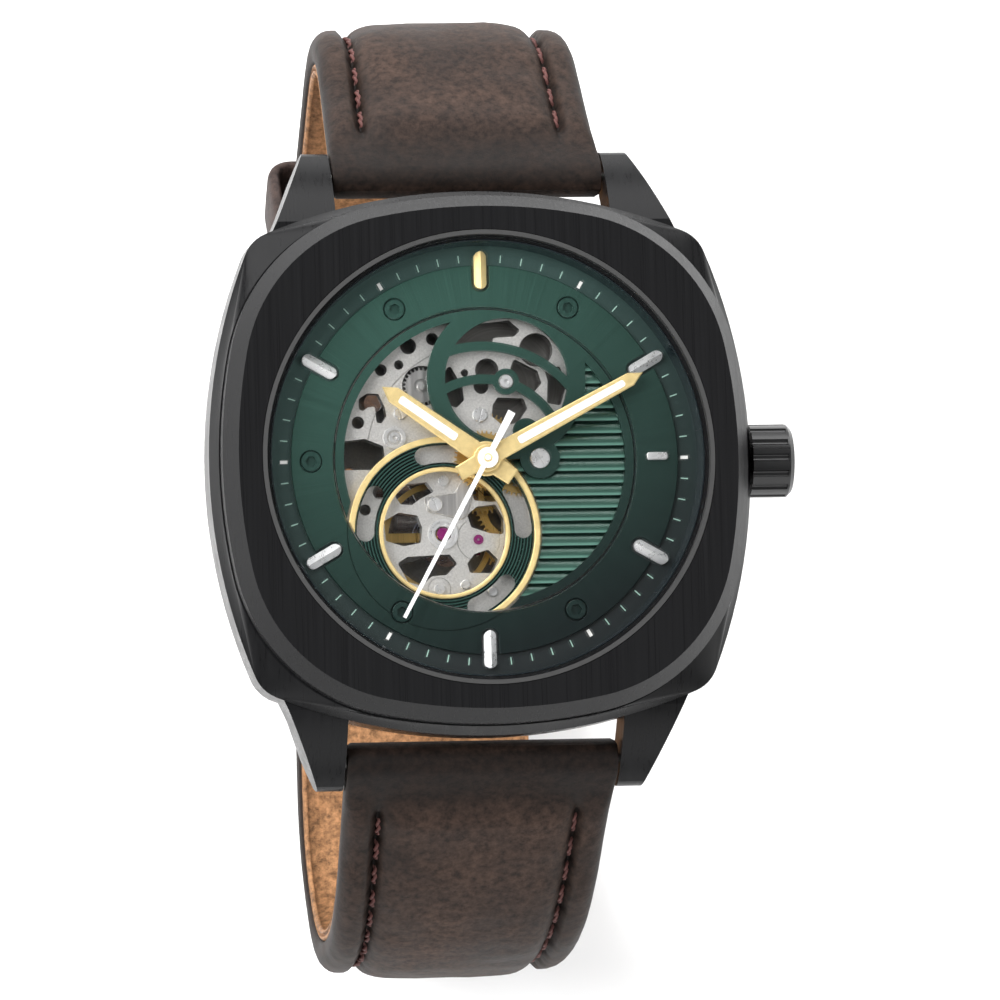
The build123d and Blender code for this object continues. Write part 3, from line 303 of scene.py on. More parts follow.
def grained(name, color, metallic, roughness, vector=None, scale=2500, contrast=0.25, bump=0.25,
            depth=0.02, spread=0.12, **sockets):
    """Metal or lacquer whose grain follows the given coordinates."""
    f = Finish(name, metallic=metallic, **sockets)
    vector = vector(f) if vector else f.place
    grain = f.noise(vector, scale, 6, 0.65)
    f.color(f.ramp(grain, (0.3, shaded(color, 1 - contrast)), (0.7, shaded(color, 1 + contrast))))
    f.roughness(f.span(grain, roughness - spread / 2, roughness + spread / 2))
    f.bump(grain, bump, depth)
    return f.material


def green_with_painted_reflection(name, light, dark, roughness, metallic, contrast, grain_of, scale):
    """Lacquer over brushed metal, with a painted reflection: lighter towards the upper left of the dial and
    darker towards the lower right.
    """
    f = Finish(name, metallic=metallic, Coat_Weight=0.3, Coat_Roughness=0.12)
    split = f.node("ShaderNodeSeparateXYZ")
    f.link(f.place, split.inputs[0])
    # painted reflection: the colour runs from the shaded end at the lower right to the lit end at the upper
    # left
    slope = f.math("ADD", split.outputs["Y"], f.math("MULTIPLY", split.outputs["X"], -0.45))
    along = f.math("MULTIPLY_ADD", slope, 1 / (DIAL_WIDTH * MM))
    along.node.inputs[2].default_value = 0.5
    middle = shaded([(a + b) / 2 for a, b in zip(light, dark)], 0.85)
    base = f.ramp(along, (0.0, dark), (0.45, middle), (1.0, light))
    grain = f.noise(grain_of(f), scale, 5, 0.7)
    tone = f.ramp(grain, (0.3, (1 - contrast,) * 3), (0.7, (1, 1, 1)))
    f.color(f.mix(1.0, base, tone, "MULTIPLY"))
    f.roughness(f.span(grain, roughness - 0.08, roughness + 0.08))
    f.bump(grain, 0.2, 0.01)
    return f.material


def plated(name, color, metallic, roughness, vector, scale, contrast, bump):
    """Plate of the movement, with painted shade: dark on its upright cut edges, and darker deep in the
    recesses.
    """
    f = Finish(name, metallic=metallic)
    grain = f.noise(vector(f) if vector else f.place, scale, 6, 0.7)
    base = f.ramp(grain, (0.3, shaded(color, 1 - contrast)), (0.7, shaded(color, 1 + contrast)))
    # painted shade: upright cut edges darkened, then the low parts in the recesses darkened
    base = f.mix(1.0, base, f.painted_wall_shade(0.16), "MULTIPLY")
    f.color(f.mix(1.0, base, f.depth(5.6, 7.4, 0.42), "MULTIPLY"))
    f.roughness(f.span(grain, roughness - 0.06, roughness + 0.06))
    f.bump(grain, bump, 0.015)
    return f.material


def louvre_with_painted_light(name, painted_shade_lacquer_highlight, start, pitch):
    """Green lacquer on the slats, with painted shade at the top of each and a painted highlight at its lip.
    """
    f = Finish(name, metallic=0.5, Coat_Weight=0.3, Coat_Roughness=0.12)
    down = f.math("MULTIPLY", f.component(f.place, "Y"), -1.0)
    slat = f.sawtooth(down, -start, pitch)
    dark, middle, light = painted_shade_lacquer_highlight
    # painted shade under the lip above, rising through the lacquer colour to a painted highlight at each
    # slat's lip
    base = f.ramp(slat, (0.0, dark), (0.35, shaded(middle, 0.6)), (0.72, middle), (0.9, light), (1.0, light))
    grain = f.noise(brushed_x(f), 2500, 4, 0.6)
    f.color(f.mix(0.35, base, f.ramp(grain, (0.3, (0.8,) * 3), (0.7, (1.1,) * 3)), "MULTIPLY"))
    f.roughness(f.span(grain, 0.26, 0.34))
    f.bump(grain, 0.03, 0.005)
    return f.material


def grooved_with_painted_light(name, dark, light, centre, start, pitch):
    """Green lacquer with fine turned grooves about a centre, each with painted shade in its valley and a
    painted highlight on its crest.
    """
    f = Finish(name, metallic=0.55, Coat_Weight=0.3, Coat_Roughness=0.1)
    radius = f.component(f.circles(centre), "X")
    line = f.sawtooth(radius, start, pitch)
    painted_valley_shade = shaded(dark, 0.35)
    # per groove: painted shade in the valley, then the lacquer green, a painted highlight line, and back to
    # green
    base = f.ramp(line, (0.0, painted_valley_shade), (0.45, painted_valley_shade), (0.6, dark), (0.85, light), (1.0, dark))
    grain = f.noise(f.circles(centre), 9000, 3, 0.5)
    f.color(f.mix(0.4, base, f.ramp(grain, (0.3, (0.7,) * 3), (0.7, (1.1,) * 3)), "MULTIPLY"))
    f.roughness(f.span(grain, 0.2, 0.3))
    f.bump(line, 0.15, 0.02)
    return f.material


def leather(name, light, dark, grain_depth, ridge_attribute):
    """Mottled leather with pores and soft folds; where it has ridges, painted shade down in the grooves and
    a painted highlight on the raised padding.
    """
    f = Finish(name, roughness=0.62, Specular_IOR_Level=0.16)
    patches = f.noise(f.place, 150, 5, 0.6)
    pores = f.noise(f.place, 1500, 7, 0.72)
    color = f.ramp(patches, (0.3, dark), (0.7, light))
    color = f.mix(0.85, color, f.ramp(pores, (0.36, (0.25,) * 3), (0.64, (1.5,) * 3)), "MULTIPLY")
    if ridge_attribute:
        ridge = f.node("ShaderNodeAttribute", attribute_name="ridge").outputs["Fac"]
        # painted light: raised padding lightened as a highlight, grooves and low parts darkened as shade
        painted_ridge_light = f.ramp(ridge, (0.0, (0.3,) * 3), (0.5, (0.85,) * 3), (1.0, (1.25,) * 3))
        color = f.mix(1.0, color, painted_ridge_light, "MULTIPLY")
    f.color(color)
    f.roughness(f.span(patches, 0.52, 0.7))
    f.bump(pores, 0.8, grain_depth)
    folds = f.noise(f.stretched((1.0, 0.5, 0.5)), 420, 3, 0.5)
    f.bump(folds, 0.35, 0.12)
    return f.material


def clear_glass(name, tint, alpha):
    f = Finish(name, roughness=0.02, Transmission_Weight=1.0, IOR=1.45, Alpha=alpha, Specular_IOR_Level=0.3)
    cast = f.noise(f.place, 60, 2)
    f.color(f.ramp(cast, (0.3, shaded(tint, 0.97)), (0.7, tint)))
    f.bump(cast, 0.02, 0.01)
    return f.material


def brushed_y(f):
    return f.stretched((1.0, 0.012, 0.3))


def brushed_x(f):
    return f.stretched((0.012, 1.0, 0.3))


def sunray(f):
    return f.rays()


def make_materials():
    black, steel = (0.0065, 0.0065, 0.007), (0.62, 0.61, 0.6)
    gold, nickel, brass = (0.92, 0.71, 0.33), (0.62, 0.61, 0.59), (0.8, 0.55, 0.2)
    made = {
        "black_steel": grained("black_steel", black, 0.0, 0.3, brushed_y, 2400, 0.2, 0.08, 0.01,
                               Specular_IOR_Level=0.14),
        "bezel_black": grained("bezel_black", black, 0.0, 0.3, brushed_y, 4200, 0.15, 0.08, 0.006,
                               Specular_IOR_Level=0.13),
        "crown_black": grained("crown_black", shaded(black, 0.8), 0.0, 0.3, brushed_x, 2500, 0.2, 0.1,
                               0.01),
        "crystal": clear_glass("crystal", (0.93, 0.97, 0.98), 0.05),
        "back_glass": clear_glass("back_glass", (0.9, 0.95, 0.95), 0.2),
        "seal_rubber": grained("seal_rubber", (0.02, 0.02, 0.02), 0.0, 0.7, None, 1800, 0.2, 0.2, 0.02),
        "rehaut_black": grained("rehaut_black", (0.006, 0.011, 0.014), 0.2, 0.22, sunray, 300, 0.2, 0.05,
                                0.01, Coat_Weight=0.5),
        "ring_plastic": grained("ring_plastic", (0.03, 0.03, 0.034), 0.0, 0.5, None, 1500, 0.2, 0.2, 0.02),
        # the two colours in each green entry are the lit and shaded ends of the painted reflection
        "dial_track_green": green_with_painted_reflection("dial_track_green", (0.026, 0.062, 0.055), (0.003, 0.007, 0.008),
                                         0.5, 0.35, 0.2, sunray, 160),
        "dial_green": green_with_painted_reflection("dial_green", (0.036, 0.1, 0.078), (0.004, 0.011, 0.011),
                                   0.36, 0.55, 0.35, sunray, 240),
        # slat colours: painted shade, lacquer, painted highlight
        "louvre_green": louvre_with_painted_light("louvre_green", ((0.002, 0.007, 0.005), (0.024, 0.07, 0.052),
                                                       (0.12, 0.26, 0.21)), 8.05, 1.0),
        # dark is the lacquer green; light is the painted highlight on each groove's crest
        "groove_green": grooved_with_painted_light("groove_green", (0.012, 0.04, 0.032), (0.05, 0.12, 0.1), BALANCE_C,
                                       5.5, 0.25),
        "gold": grained("gold", gold, 0.7, 0.34, None, 1600, 0.04, 0.01, 0.001),
        "gold_hand": grained("gold_hand", gold, 0.75, 0.34, None, 2200, 0.06, 0.04, 0.005),
        "polished_steel": grained("polished_steel", (0.8, 0.8, 0.8), 0.85, 0.3, None, 2000, 0.05, 0.01,
                                  0.001),
        "satin_steel": grained("satin_steel", steel, 1.0, 0.34, brushed_y, 3800, 0.15, 0.2, 0.01),
        "pin_steel": grained("pin_steel", shaded(steel, 0.85), 1.0, 0.35, None, 3000, 0.15, 0.2, 0.01),
        # the screws take the same painted reflection, lit upper left and shaded lower right
        "screw_green": green_with_painted_reflection("screw_green", (0.028, 0.08, 0.064), (0.007, 0.02, 0.018),
                                    0.35, 0.5, 0.3, lambda f: f.place, 2500),
        # the movement plates carry painted shade on their upright edges and in their recesses
        "frosted_nickel": plated("frosted_nickel", nickel, 0.9, 0.4, None, 6000, 0.2, 0.35),
        "barrel_nickel": plated("barrel_nickel", (0.55, 0.53, 0.5), 0.95, 0.33,
                                lambda f: f.circles(BARREL_C), 5200, 0.25, 0.2),
        "ruby": grained("ruby", (0.17, 0.008, 0.1), 0.0, 0.1, None, 900, 0.2, 0.02, 0.01,
                        Transmission_Weight=0.35, Coat_Weight=0.6),
        "gilt_brass": grained("gilt_brass", brass, 1.0, 0.3, lambda f: f.circles(BALANCE_C), 6000, 0.15,
                              0.2, 0.01),
        "hairspring_blue": grained("hairspring_blue", (0.3, 0.33, 0.45), 1.0, 0.25, None, 2500, 0.1, 0.05,
                                   0.01),
        "spring_alloy": grained("spring_alloy", (0.5, 0.5, 0.5), 1.0, 0.3, None, 2500, 0.1, 0.05, 0.01),
        "white_hand": grained("white_hand", (0.66, 0.66, 0.67), 0.0, 0.35, None, 4000, 0.04, 0.05, 0.01),
        "track_print": grained("track_print", (0.25, 0.4, 0.34), 0.0, 0.6, None, 9000, 0.1, 0.2, 0.01),
        "lume": grained("lume", (0.64, 0.64, 0.62), 0.0, 0.65, None, 9000, 0.08, 0.3, 0.01),
        # the strap's ridge attribute paints highlight on the raised padding and shade in its grooves
        "strap_leather": leather("strap_leather", (0.04, 0.024, 0.0175), (0.014, 0.0082, 0.006), 0.05,
                                 True),
        "keeper_leather": leather("keeper_leather", (0.05, 0.032, 0.027), (0.026, 0.017, 0.015), 0.05,
                                  False),
        "strap_lining": leather("strap_lining", (0.29, 0.15, 0.07), (0.23, 0.112, 0.05), 0.03, False),
        "thread": grained("thread", (0.1, 0.032, 0.027), 0.0, 0.7, None, 5000, 0.35, 0.5, 0.05),
        "buckle_black": grained("buckle_black", black, 0.0, 0.3, brushed_x, 3000, 0.3, 0.2, 0.01),
    }
    return made


MATERIALS = make_materials()


def finish_cad_nodes():
    """Each CAD node takes the material of its slot in the record."""
    slot_of = {part["node"]: part["material_slot"] for part in frame["record"]["subparts"]}
    for name, obj in frame["nodes"].items():
        for s in obj.material_slots:
            s.material = MATERIALS[slot_of[name]]


# ---------------------------------------------------------------- strap path, as in the CAD
def walk(start, runs):
    """Stations (y, z, heading) along (radius, amount) runs; radius 0 is a straight."""
    y, z, heading = start
    stations = [start]
    for radius, amount in runs:
        h = math.radians(heading)
        if radius:
            heading -= amount
            y += radius * (math.sin(h) - math.sin(math.radians(heading)))
            z += radius * (math.cos(math.radians(heading)) - math.cos(h))
        else:
            y += amount * math.cos(h)
            z += amount * math.sin(h)
        stations.append((y, z, heading))
    return stations


def side_runs(slope, first, shoulder_r, lean, foot_r, flat_end):
    """Start and runs of one half's middle line, from its lug bar to flat_end along the bottom."""
    start = (BAR_Y, BAR_Z, -slope)
    runs = [(0, first), (shoulder_r, 90 + lean - slope)]
    drop = walk(start, runs)[-1][1] - BOTTOM_Z - foot_r * (1 - math.sin(math.radians(lean)))
    runs += [(0, drop / math.cos(math.radians(lean))), (foot_r, 90 - lean)]
    return start, runs + [(0, walk(start, runs)[-1][0] - flat_end)]


def sampled(start, runs, step):
    """(distance, y, z, heading) about every step mm along the runs."""
    out, travelled, here = [(0.0, *start)], 0.0, start
    for radius, amount in runs:
        length = radius * math.radians(amount) if radius else amount
        count = max(1, round(length / step))
        for i in range(1, count + 1):
            out.append((travelled + length * i / count, *walk(here, [(radius, amount * i / count)])[-1]))
        here, travelled = out[-1][1:], travelled + length
    return out


def half_width(z):
    """Half the strap's width at a height, from the taper table."""
    for (z0, w0), (z1, w1) in zip(TAPER, TAPER[1:]):
        if z >= z1:
            return w0 + (w1 - w0) * max(0.0, z0 - z) / (z0 - z1)
    return TAPER[-1][1]


def place(x, y, z, heading, offset):
    """Point beside a station; + is away from the wrist."""
    h = math.radians(heading)
    return (x, y - offset * math.sin(h), z + offset * math.cos(h))


def flipped(point):
    """The same point on the 6 o'clock side."""
    return (point[0], -point[1], point[2])


# ---------------------------------------------------------------- padded leather
EDGE_STEPS = (0, 0.08, 0.25, 0.5, 0.85, 1.25, 1.65, 2.0, 2.25, 2.45, 2.62, 2.76, 2.9, 3.04, 3.2, 3.4,
              3.7, 4.1, 4.7, 5.5, 6.6, 8.0)
FLAT_TOP, GROOVE_TOP, STRIP_TOP, DOME_TOP = 1.5, 1.05, 1.95, 2.55
THIN_EDGE_R, PADDED_EDGE_R = 0.5, 1.5
CROWN_RISE, DOME_SHOULDER = 0.3, 0.75
PIT_DEPTH, PIT_WIDTH, PIT_LENGTH = 0.35, 0.25, 0.35      # where each stitch goes down
ROLL_STEPS = 6


def padded_height(edge, centre, pad, pit):
    """Height of the outer face, at a distance in from the edge."""
    corner = PADDED_EDGE_R * pad + THIN_EDGE_R * (1 - pad)
    strip = FLAT_TOP + (STRIP_TOP - FLAT_TOP) * pad
    if edge < corner:
        strip -= corner - math.sqrt(max(0.0, corner ** 2 - (corner - edge) ** 2))
    if edge < GROOVE:
        fall = smooth_step(edge, GROOVE - 0.95, GROOVE - 0.05)
        return strip + (GROOVE_TOP - PIT_DEPTH * pit - strip) * fall * pad
    rise = 1 - math.exp(-(edge - GROOVE) / DOME_SHOULDER)
    crown = CROWN_RISE * (1 - ((centre - edge) / centre) ** 2)
    dome = GROOVE_TOP + (DOME_TOP - CROWN_RISE - GROOVE_TOP) * rise + crown
    dome -= PIT_DEPTH * pit * math.exp(-((edge - GROOVE) / PIT_WIDTH) ** 2)
    return FLAT_TOP + (dome - FLAT_TOP) * pad


def unevenness(point, amount):
    """Slow rise and fall of hand-filled padding."""
    spot = Vector(point)
    return amount * (noise.noise(spot * 0.22) + 0.5 * noise.noise(spot * 0.6 + Vector((7, 3, 1))))


def set_ridge(obj, values):
    """How far each point stands up into the padding, 0 to 1, for the painted highlight on the padding and
    the painted shade in its grooves.
    """
    layer = obj.data.attributes.new("ridge", "FLOAT", "POINT")
    layer.data.foreach_set("value", values)


def leather_half(name, side, end, pad_end, flip):
    """Outer leather of one half, from the lug bar to the buckle or the crossing."""
    start, runs = side_runs(*side, end)
    samples = sampled(start, runs, 0.35)
    total = samples[-1][0]
    rings, ridges = [], []
    for i in range(ROLL_STEPS, 0, -1):
        back = ROLL_R * math.sin(math.radians(90 / ROLL_STEPS * i)) * 0.999
        y, z, heading = walk(start, [(0, -back)])[-1]
        rings.append((0.0, y, z, heading, math.sqrt(ROLL_R ** 2 - back ** 2)))
    rings += [(*s, None) for s in samples]
    built = []
    for distance, y, z, heading, roll in rings:
        width = half_width(z)
        thinning = smooth_step(distance, total - pad_end - PAD_FADE, total - pad_end)
        pad = smooth_step(distance, PAD_START, PAD_FULL) * (1 - 0.75 * thinning)
        phase = ((distance - STITCH_START) / STITCH_PITCH) % 1.0
        pit = math.exp(-((min(phase, 1 - phase)) * STITCH_PITCH / PIT_LENGTH) ** 2)
        pit *= 1.0 if STITCH_START - 0.5 < distance < total - pad_end else 0.0
        edges = [e for e in EDGE_STEPS if e < width - 1] + [width]
        half = [(width - e, padded_height(e, width, pad, pit)) for e in edges]
        if roll is None:
            settle = smooth_step(distance, 0, 3)
            half = [(x, h * settle + ROLL_R * (1 - settle)) for x, h in half]
            inner = LINING_OUT * settle - ROLL_R * (1 - settle)
        else:
            half = [(x, roll) for x, h in half]
            inner = -roll
        low_side = [(width - 0.02, min(half[0][1] - 0.1, 0.1) if roll is None else 0.0),
                    (width - 0.1, inner + 0.25 * abs(inner)), (width - 0.4, inner)]
        outline = [(-x, h) for x, h in half] + [(x, h) for x, h in reversed(half[:-1])]
        outline += low_side + [(-x, h) for x, h in reversed(low_side)]
        ring = []
        for x, offset in outline:
            spot = place(x, y, z, heading, offset)
            if offset > 0.3:
                spot = place(x, y, z, heading, offset + unevenness(spot, 0.12 * pad))
            ring.append(flipped(spot) if flip else spot)
            # ridge level drives painted light on the leather: raised padding gets painted highlight; low
            # sides, grooves and the first mm by the lug bar get painted shade
            level = min(1.0, max(0.0, (offset - 0.9) / (DOME_TOP - 0.9)))
            ridges.append(level * smooth_step(distance, -1.0, 6.0) if offset > 0.5 else 0.25)
        built.append(ring)
    obj = add_object(name, *sweep(built))
    set_ridge(obj, ridges)
    return obj


def strip(name, stations, inner, outer, trim, rounding, flip=False, tip=0.0):
    """Plain band of leather between two offsets, with rounded edges and an optional round tip."""
    built = []
    for distance, y, z, heading in stations:
        width = half_width(z) - trim
        if tip and distance < tip:
            width = max(0.4, width * math.sqrt(1 - (1 - distance / tip) ** 2.4))
        corners = []
        for turn in range(0, 91, 30):
            angle = math.radians(turn)
            corners.append((rounding * (1 - math.sin(angle)), rounding * (1 - math.cos(angle))))
        top = [(width - a, outer - b) for a, b in corners]
        bottom = [(width - a, inner + b) for a, b in corners]
        spread = [width * k / 5 for k in range(4, -5, -1)]
        outline = [(-x, h) for x, h in top] + [(-x, outer) for x in spread]
        outline += [(x, h) for x, h in reversed(top)] + [(x, h) for x, h in bottom]
        outline += [(x, inner) for x in spread] + [(-x, h) for x, h in reversed(bottom)]
        ring = [place(x, y, z, heading, o) for x, o in outline]
        built.append([flipped(p) for p in ring] if flip else ring)
    return add_object(name, *sweep(built))


def box_at(size, spot, tilt=0.0):
    """Cutter box of a size, in mm, centred on a spot."""
    a, b, c = (v / 2 for v in size)
    turn = Matrix.Translation(Vector(spot)) @ Matrix.Rotation(math.radians(tilt), 4, "X")
    return prism("cutter", ((-a, -b), (a, -b), (a, b), (-a, b)), -c, c, turn)


def round_cutter(radius, height, spot, tilt):
    turn = Matrix.Translation(Vector(spot)) @ Matrix.Rotation(math.radians(tilt), 4, "X")
    outline = [(radius * math.cos(k * math.pi / 12), radius * math.sin(k * math.pi / 12)) for k in range(24)]
    return prism("cutter", outline, -height / 2, height / 2, turn)


def make_strap():
    """Both padded halves, their lining, and the tail that comes back over the buckle side."""
    tongue_slot, tail_slot, tail_slot_at = (2.6, 6.5, 6), (2.6, 10, 8), (0, -4, -40)
    half_12 = leather_half("strap_leather_12", SIDE_12, BUCKLE_Y, PAD_END_12, False)
    cut(half_12, [box_at(tongue_slot, (0, BUCKLE_Y, BUCKLE_Z))])
    half_6 = leather_half("strap_leather_6", SIDE_6, -CROSSING[0], PAD_END_6, True)
    # the end of the 6 o'clock half: through the buckle, then over the 12 o'clock half
    start, runs = side_runs(*SIDE_12, BUCKLE_Y + 2.2)
    foot = walk(start, runs)[3]
    tail_start = walk(foot, [(0, -TAIL_RUN)])[-1]
    tail_runs = [(0, TAIL_RUN), runs[3], (0, walk(start, runs)[4][0] - CROSSING[1])]
    stations = sampled(tail_start, tail_runs, 0.6)
    total = stations[-1][0]
    middle = (TAIL_IN + TAIL_OUT) / 2
    drop_from, drop_to = (CROSSING[0], BOTTOM_Z - 0.6 + middle), (CROSSING[1], BOTTOM_Z)
    for i in range(1, 13):
        t = i / 12
        ease = smooth_step(t, 0, 1)
        y = drop_to[0] + (drop_from[0] - drop_to[0]) * t
        stations.append((total + 11 * t, y, drop_to[1] + (drop_from[1] - drop_to[1]) * ease, -180.0))
    tail = strip("strap_tail_6", stations, TAIL_IN, TAIL_OUT, 0.0, 0.7, tip=7.0)
    # fixed ridge level: the tail gets one even step of the painted shade on the leather
    set_ridge(tail, [0.55] * len(tail.data.vertices))
    fine = sampled(tail_start, tail_runs, 0.1)
    holes = []
    for i in range(HOLES):
        distance = FIRST_HOLE + HOLE_PITCH * i
        spot = min(fine, key=lambda s: abs(s[0] - distance))
        holes.append(round_cutter(HOLE_R, 6, place(0, *spot[1:], middle), spot[3]))
    cut(tail, holes + [box_at(tail_slot, tail_slot_at)])
    cut(half_6, [box_at(tail_slot, tail_slot_at)])
    start, runs = side_runs(*SIDE_12, BUCKLE_Y + 2.2)
    lining_12 = strip("strap_lining_12", sampled(start, runs, 0.8)[3:], LINING_IN, LINING_OUT, 0.2, 0.35)
    start, runs = side_runs(*SIDE_6, -CROSSING[0])
    lining_6 = strip("strap_lining_6", sampled(start, runs, 0.8)[3:], LINING_IN, LINING_OUT, 0.2, 0.35, True)
    for obj in (half_12, half_6, tail):
        piece(obj, "case", "strap_leather")
    for obj in (lining_12, lining_6):
        piece(obj, "case", "strap_lining")
    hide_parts("strap_12")
    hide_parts("strap_6")
    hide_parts("strap_linings")


def make_stitches():
    """Two twisted strands per stitch, both ends sunk into the groove."""
    verts, faces = [], []
    sides, steps = 6, 10
    pairs = [(j, (j + 1) % sides) for j in range(sides)]
    halves = ((SIDE_12, BUCKLE_Y, PAD_END_12, False), (SIDE_6, -CROSSING[0], PAD_END_6, True))
    for side, end, pad_end, flip in halves:
        fine = sampled(*side_runs(*side, end), 0.05)
        total = fine[-1][0]
        count = int((total - pad_end - STITCH_START) / STITCH_PITCH)
        for hand in (-1, 1):
            for i in range(count):
                begin = STITCH_START + i * STITCH_PITCH + (STITCH_PITCH - STITCH_LENGTH) / 2
                for strand in (0, math.pi):
                    first = len(verts)
                    for k in range(steps + 1):
                        t = k / steps
                        at = min(int((begin + t * STITCH_LENGTH) / total * (len(fine) - 1)), len(fine) - 1)
                        _, y, z, heading = fine[at]
                        twist = strand + t * STRAND_TWIST
                        lift = GROOVE_TOP + 0.16 - 0.5 * abs(2 * t - 1) ** 5
                        centre_x = hand * (half_width(z) - GROOVE) + STRAND_SPREAD * math.cos(twist)
                        for j in range(sides):
                            around = 2 * math.pi * j / sides
                            offset = lift + STRAND_SPREAD * math.sin(twist) + THREAD_R * math.sin(around)
                            spot = place(centre_x + THREAD_R * math.cos(around), y, z, heading, offset)
                            verts.append(flipped(spot) if flip else spot)
                    for k in range(steps):
                        a, b = first + k * sides, first + (k + 1) * sides
                        faces += [(a + j, a + j1, b + j1, b + j) for j, j1 in pairs]
    piece(add_object("strap_stitches", verts, faces), "case", "thread")


def make_keeper(name, station, body, node):
    """Flat loop of leather with rounded corners and a slightly crowned band."""
    half_x, radius = KEEPER_HALF_WIDTH + KEEPER_WALL / 2, KEEPER_CORNER_R
    low, high = KEEPER_IN - KEEPER_WALL / 2, KEEPER_OUT + KEEPER_WALL / 2
    path = []
    for cx, co, turn in ((half_x, high, 0), (-half_x, high, 90), (-half_x, low, 180), (half_x, low, 270)):
        sx, so = (-1 if cx > 0 else 1), (-1 if co > 1 else 1)
        for k in range(7):
            angle = math.radians(turn + 15 * k)
            out = Vector((math.cos(angle), math.sin(angle)))
            path.append((Vector((cx + sx * radius, co + so * radius)) + radius * out, out))
    band = []
    half_length, half_wall = KEEPER_LENGTH / 2, KEEPER_WALL / 2
    for k in range(BAND_POINTS):
        angle = 2 * math.pi * k / BAND_POINTS
        c, s = math.cos(angle), math.sin(angle)
        along, lift = half_length * abs(c) ** 0.35, half_wall * abs(s) ** 0.8
        band.append((math.copysign(along, c), math.copysign(lift, s)))
    y, z, heading = station
    rings = []
    for centre, out in path:
        ring = []
        for along, lift in band:
            x, offset = centre + out * lift
            h = math.radians(heading)
            ring.append(place(x, y + along * math.cos(h), z + along * math.sin(h), heading, offset))
        rings.append(ring)
    obj = piece(add_object(name, *sweep(rings, closed=True)), body, "keeper_leather")
    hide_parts(node)


def make_keepers():
    start, runs = side_runs(*SIDE_12, BUCKLE_Y)
    free = walk(walk(start, runs)[3], [(SIDE_12[-1], FREE_KEEPER_TURN)])[-1]
    make_keeper("keeper_loop_fixed", (FIXED_KEEPER_Y, BOTTOM_Z, -180), "case", "keeper_fixed")
    make_keeper("keeper_loop_free", free, "keeper_free", "keeper_free")


# ---------------------------------------------------------------- dial and hands
def on_dial(angle, z=0.0):
    """Local +Y points along a clock angle."""
    return Matrix.Translation(Vector((0, 0, z))) @ Matrix.Rotation(math.radians(-angle), 4, "Z")


def joined(name, parts):
    verts, faces = [], []
    for part in parts:
        first = len(verts)
        verts += [v.co / MM for v in part.data.vertices]
        faces += [tuple(first + i for i in p.vertices) for p in part.data.polygons]
        bpy.data.objects.remove(part)
    return add_object(name, verts, faces, smooth=False)


def make_track():
    """Printed minute marks; every fifth is wider, and the even hours carry an applied index."""
    marks, hours = [], []
    for minute in range(60):
        if minute % 10 == 0:
            continue
        width, inner, outer = (0.26, 15.85, 16.45) if minute % 5 == 0 else (0.09, 15.9, 16.5)
        outline = ((-width / 2, inner), (width / 2, inner), (width / 2, outer), (-width / 2, outer))
        mark = prism("mark", outline, -0.01, 0.015, on_dial(6 * minute, TRACK_TOP))
        (hours if minute % 5 == 0 else marks).append(mark)
    piece(joined("minute_marks", marks), "case", "track_print")
    piece(joined("hour_marks", hours), "case", "lume")


def make_inlay(name, angle, top, length, widths, body):
    """Luminous filling along a hand, crowned a little, with clipped corners."""
    start, clip = 2.9, 0.12
    near, far = widths
    outline = [(-near, start + clip), (-near + clip, start), (near - clip, start), (near, start + clip),
               (far, length - clip), (far - clip, length), (clip - far, length), (-far, length - clip)]
    n = len(outline)
    low, high = -0.02, 0.03
    verts = [(x, y, low) for x, y in outline] + [(x * 0.9, y, high) for x, y in outline]
    matrix = on_dial(angle, top)
    faces = [tuple(range(n, 2 * n))] + [(i, (i + 1) % n, n + (i + 1) % n, n + i) for i in range(n)]
    piece(add_object(name, [matrix @ Vector(v) for v in verts], faces, smooth=False), body, "lume")


def lathe(name, profile, turns=40):
    """Ring turned about the hands' axis."""
    rings = []
    for k in range(turns):
        a = 2 * math.pi * k / turns
        rings.append([(r * math.cos(a), r * math.sin(a), z) for r, z in profile])
    return add_object(name, *sweep(rings, closed=True))


def make_hand_details():
    """Luminous fillings, and the gold rim round the middle of the seconds hand."""
    make_inlay("hour_inlay", HOUR_ANGLE, HOUR_TOP, 8.4, (0.34, 0.33), "hour_hand")
    make_inlay("minute_inlay", MINUTE_ANGLE, MINUTE_TOP, 12.7, (0.33, 0.28), "minute_hand")
    top = SECONDS_TOP
    rim = ((0.34, top - 0.05), (0.36, top + 0.02), (0.3, top + 0.05), (0.24, top + 0.02), (0.2, top - 0.05))
    piece(lathe("seconds_eye", rim), "seconds_hand", "gold")


def make_pallet_stones():
    """A ruby block at the end of each arm of the fork, facing the escape wheel."""
    outline = ((-0.16, -0.1), (0.2, -0.1), (0.26, 0.1), (-0.16, 0.1))
    to_wheel = math.atan2(ESCAPE_C[1] - PALLET_C[1], ESCAPE_C[0] - PALLET_C[0])
    stones = []
    for side in (-1, 1):
        arm = to_wheel + side * math.radians(PALLET_SPREAD)
        x, y = PALLET_C[0] + PALLET_REACH * math.cos(arm), PALLET_C[1] + PALLET_REACH * math.sin(arm)
        facing = math.atan2(ESCAPE_C[1] - y, ESCAPE_C[0] - x)
        spot = Matrix.Translation(Vector((x, y, PALLET_Z))) @ Matrix.Rotation(facing, 4, "Z")
        stones.append(prism("stone", outline, -0.16, 0.16, spot))
    piece(joined("pallet_stones", stones), "pallet_fork", "ruby")


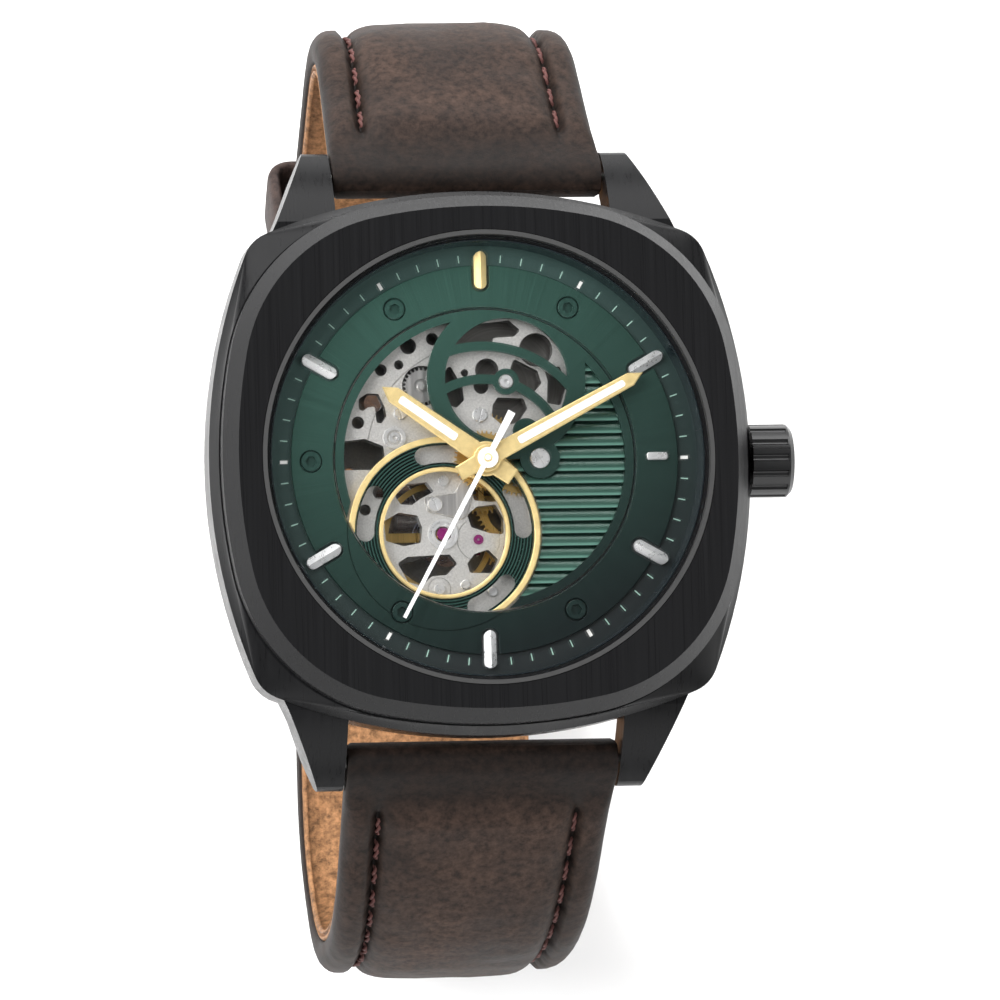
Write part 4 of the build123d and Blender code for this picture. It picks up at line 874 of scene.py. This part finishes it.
def make_hairspring():
    """Flat spiral between the collet and the stud."""
    low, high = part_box("hairspring")
    z0, z1 = low[2] / MM, high[2] / MM
    outer = (high[0] - low[0]) / MM / 2
    turns, steps, inner, half = 7, 60, 0.55, 0.02
    rings = []
    for k in range(turns * steps + 1):
        a = 2 * math.pi * k / steps
        r = inner + (outer - inner) * k / (turns * steps)
        c, s = math.cos(a), math.sin(a)
        rings.append([(BALANCE_C[0] + (r + d) * c, BALANCE_C[1] + (r + d) * s, z)
                      for d, z in ((-half, z0), (half, z0), (half, z1), (-half, z1))])
    obj = piece(add_object("hairspring_coil", *sweep(rings), smooth=True), "balance", "hairspring_blue")
    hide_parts("hairspring")


# ---------------------------------------------------------------- floor, light and camera
def make_stage():
    """Pale floor just under the lowest part of the strap, and a weak even sky."""
    floor_z, reach = cad_box[0][2] / MM, 900
    corners = ((-reach, -reach), (reach, -reach), (reach, reach), (-reach, reach))
    floor = prism("floor", corners, floor_z - 2, floor_z - 0.02)
    white = grained("floor_white", (0.94, 0.94, 0.94), 0.0, 0.8, None, 30, 0.01, 0.02, 0.01)
    floor.data.materials.append(white)
    world = bpy.context.scene.world or bpy.data.worlds.new("World")
    bpy.context.scene.world = world
    world.use_nodes = True
    background = world.node_tree.nodes["Background"]
    background.inputs["Color"].default_value = (1, 1, 1, 1)
    background.inputs["Strength"].default_value = 0.2
    bpy.context.scene.view_settings.view_transform = "Standard"


def area_light(name, spot, size, power, target=(0, 0, 8)):
    data = bpy.data.lights.new(name, "AREA")
    data.shape, data.size, data.size_y = "RECTANGLE", size[0] * MM, size[1] * MM
    data.energy = power
    obj = bpy.data.objects.new(name, data)
    obj.location = Vector(spot) * MM
    obj.rotation_euler = (Vector(target) - Vector(spot)).to_track_quat("-Z", "Y").to_euler()
    bpy.context.scene.collection.objects.link(obj)


def make_lights():
    area_light("key_left", (-420, 160, 420), (450, 450), 7.4)
    area_light("fill_right", (460, -60, 300), (400, 600), 2.6)
    area_light("top_back", (0, 520, 260), (900, 400), 4.8)
    area_light("low_front", (0, -480, 200), (900, 300), 1.4)


def make_camera():
    """Nearly overhead, turned a little to the left and tipped; 600 mm from the dial."""
    yaw, pitch, roll = (math.radians(v) for v in (8.5, -5.4, 1.57))
    turn = Matrix.Rotation(roll, 3, "Z") @ Matrix.Rotation(pitch, 3, "X") @ Matrix.Rotation(yaw, 3, "Y")
    distance, view_width, dial_z = 600, 79.76, 8.8
    spot = turn.transposed() @ Vector((1.17, -3.24, distance))
    data = bpy.data.cameras.new("camera")
    data.sensor_width, data.lens, data.clip_start = 36, 36 * distance / view_width, 0.01
    camera = bpy.data.objects.new("camera", data)
    matrix = turn.transposed().to_4x4()
    matrix.translation = (spot + Vector((0, 0, dial_z))) * MM
    camera.matrix_world = matrix
    bpy.context.scene.collection.objects.link(camera)
    bpy.context.scene.camera = camera


make_stage()
make_lights()
make_camera()
finish_cad_nodes()
make_strap()
make_stitches()
make_keepers()
make_track()
make_hand_details()
make_pallet_stones()
make_hairspring()
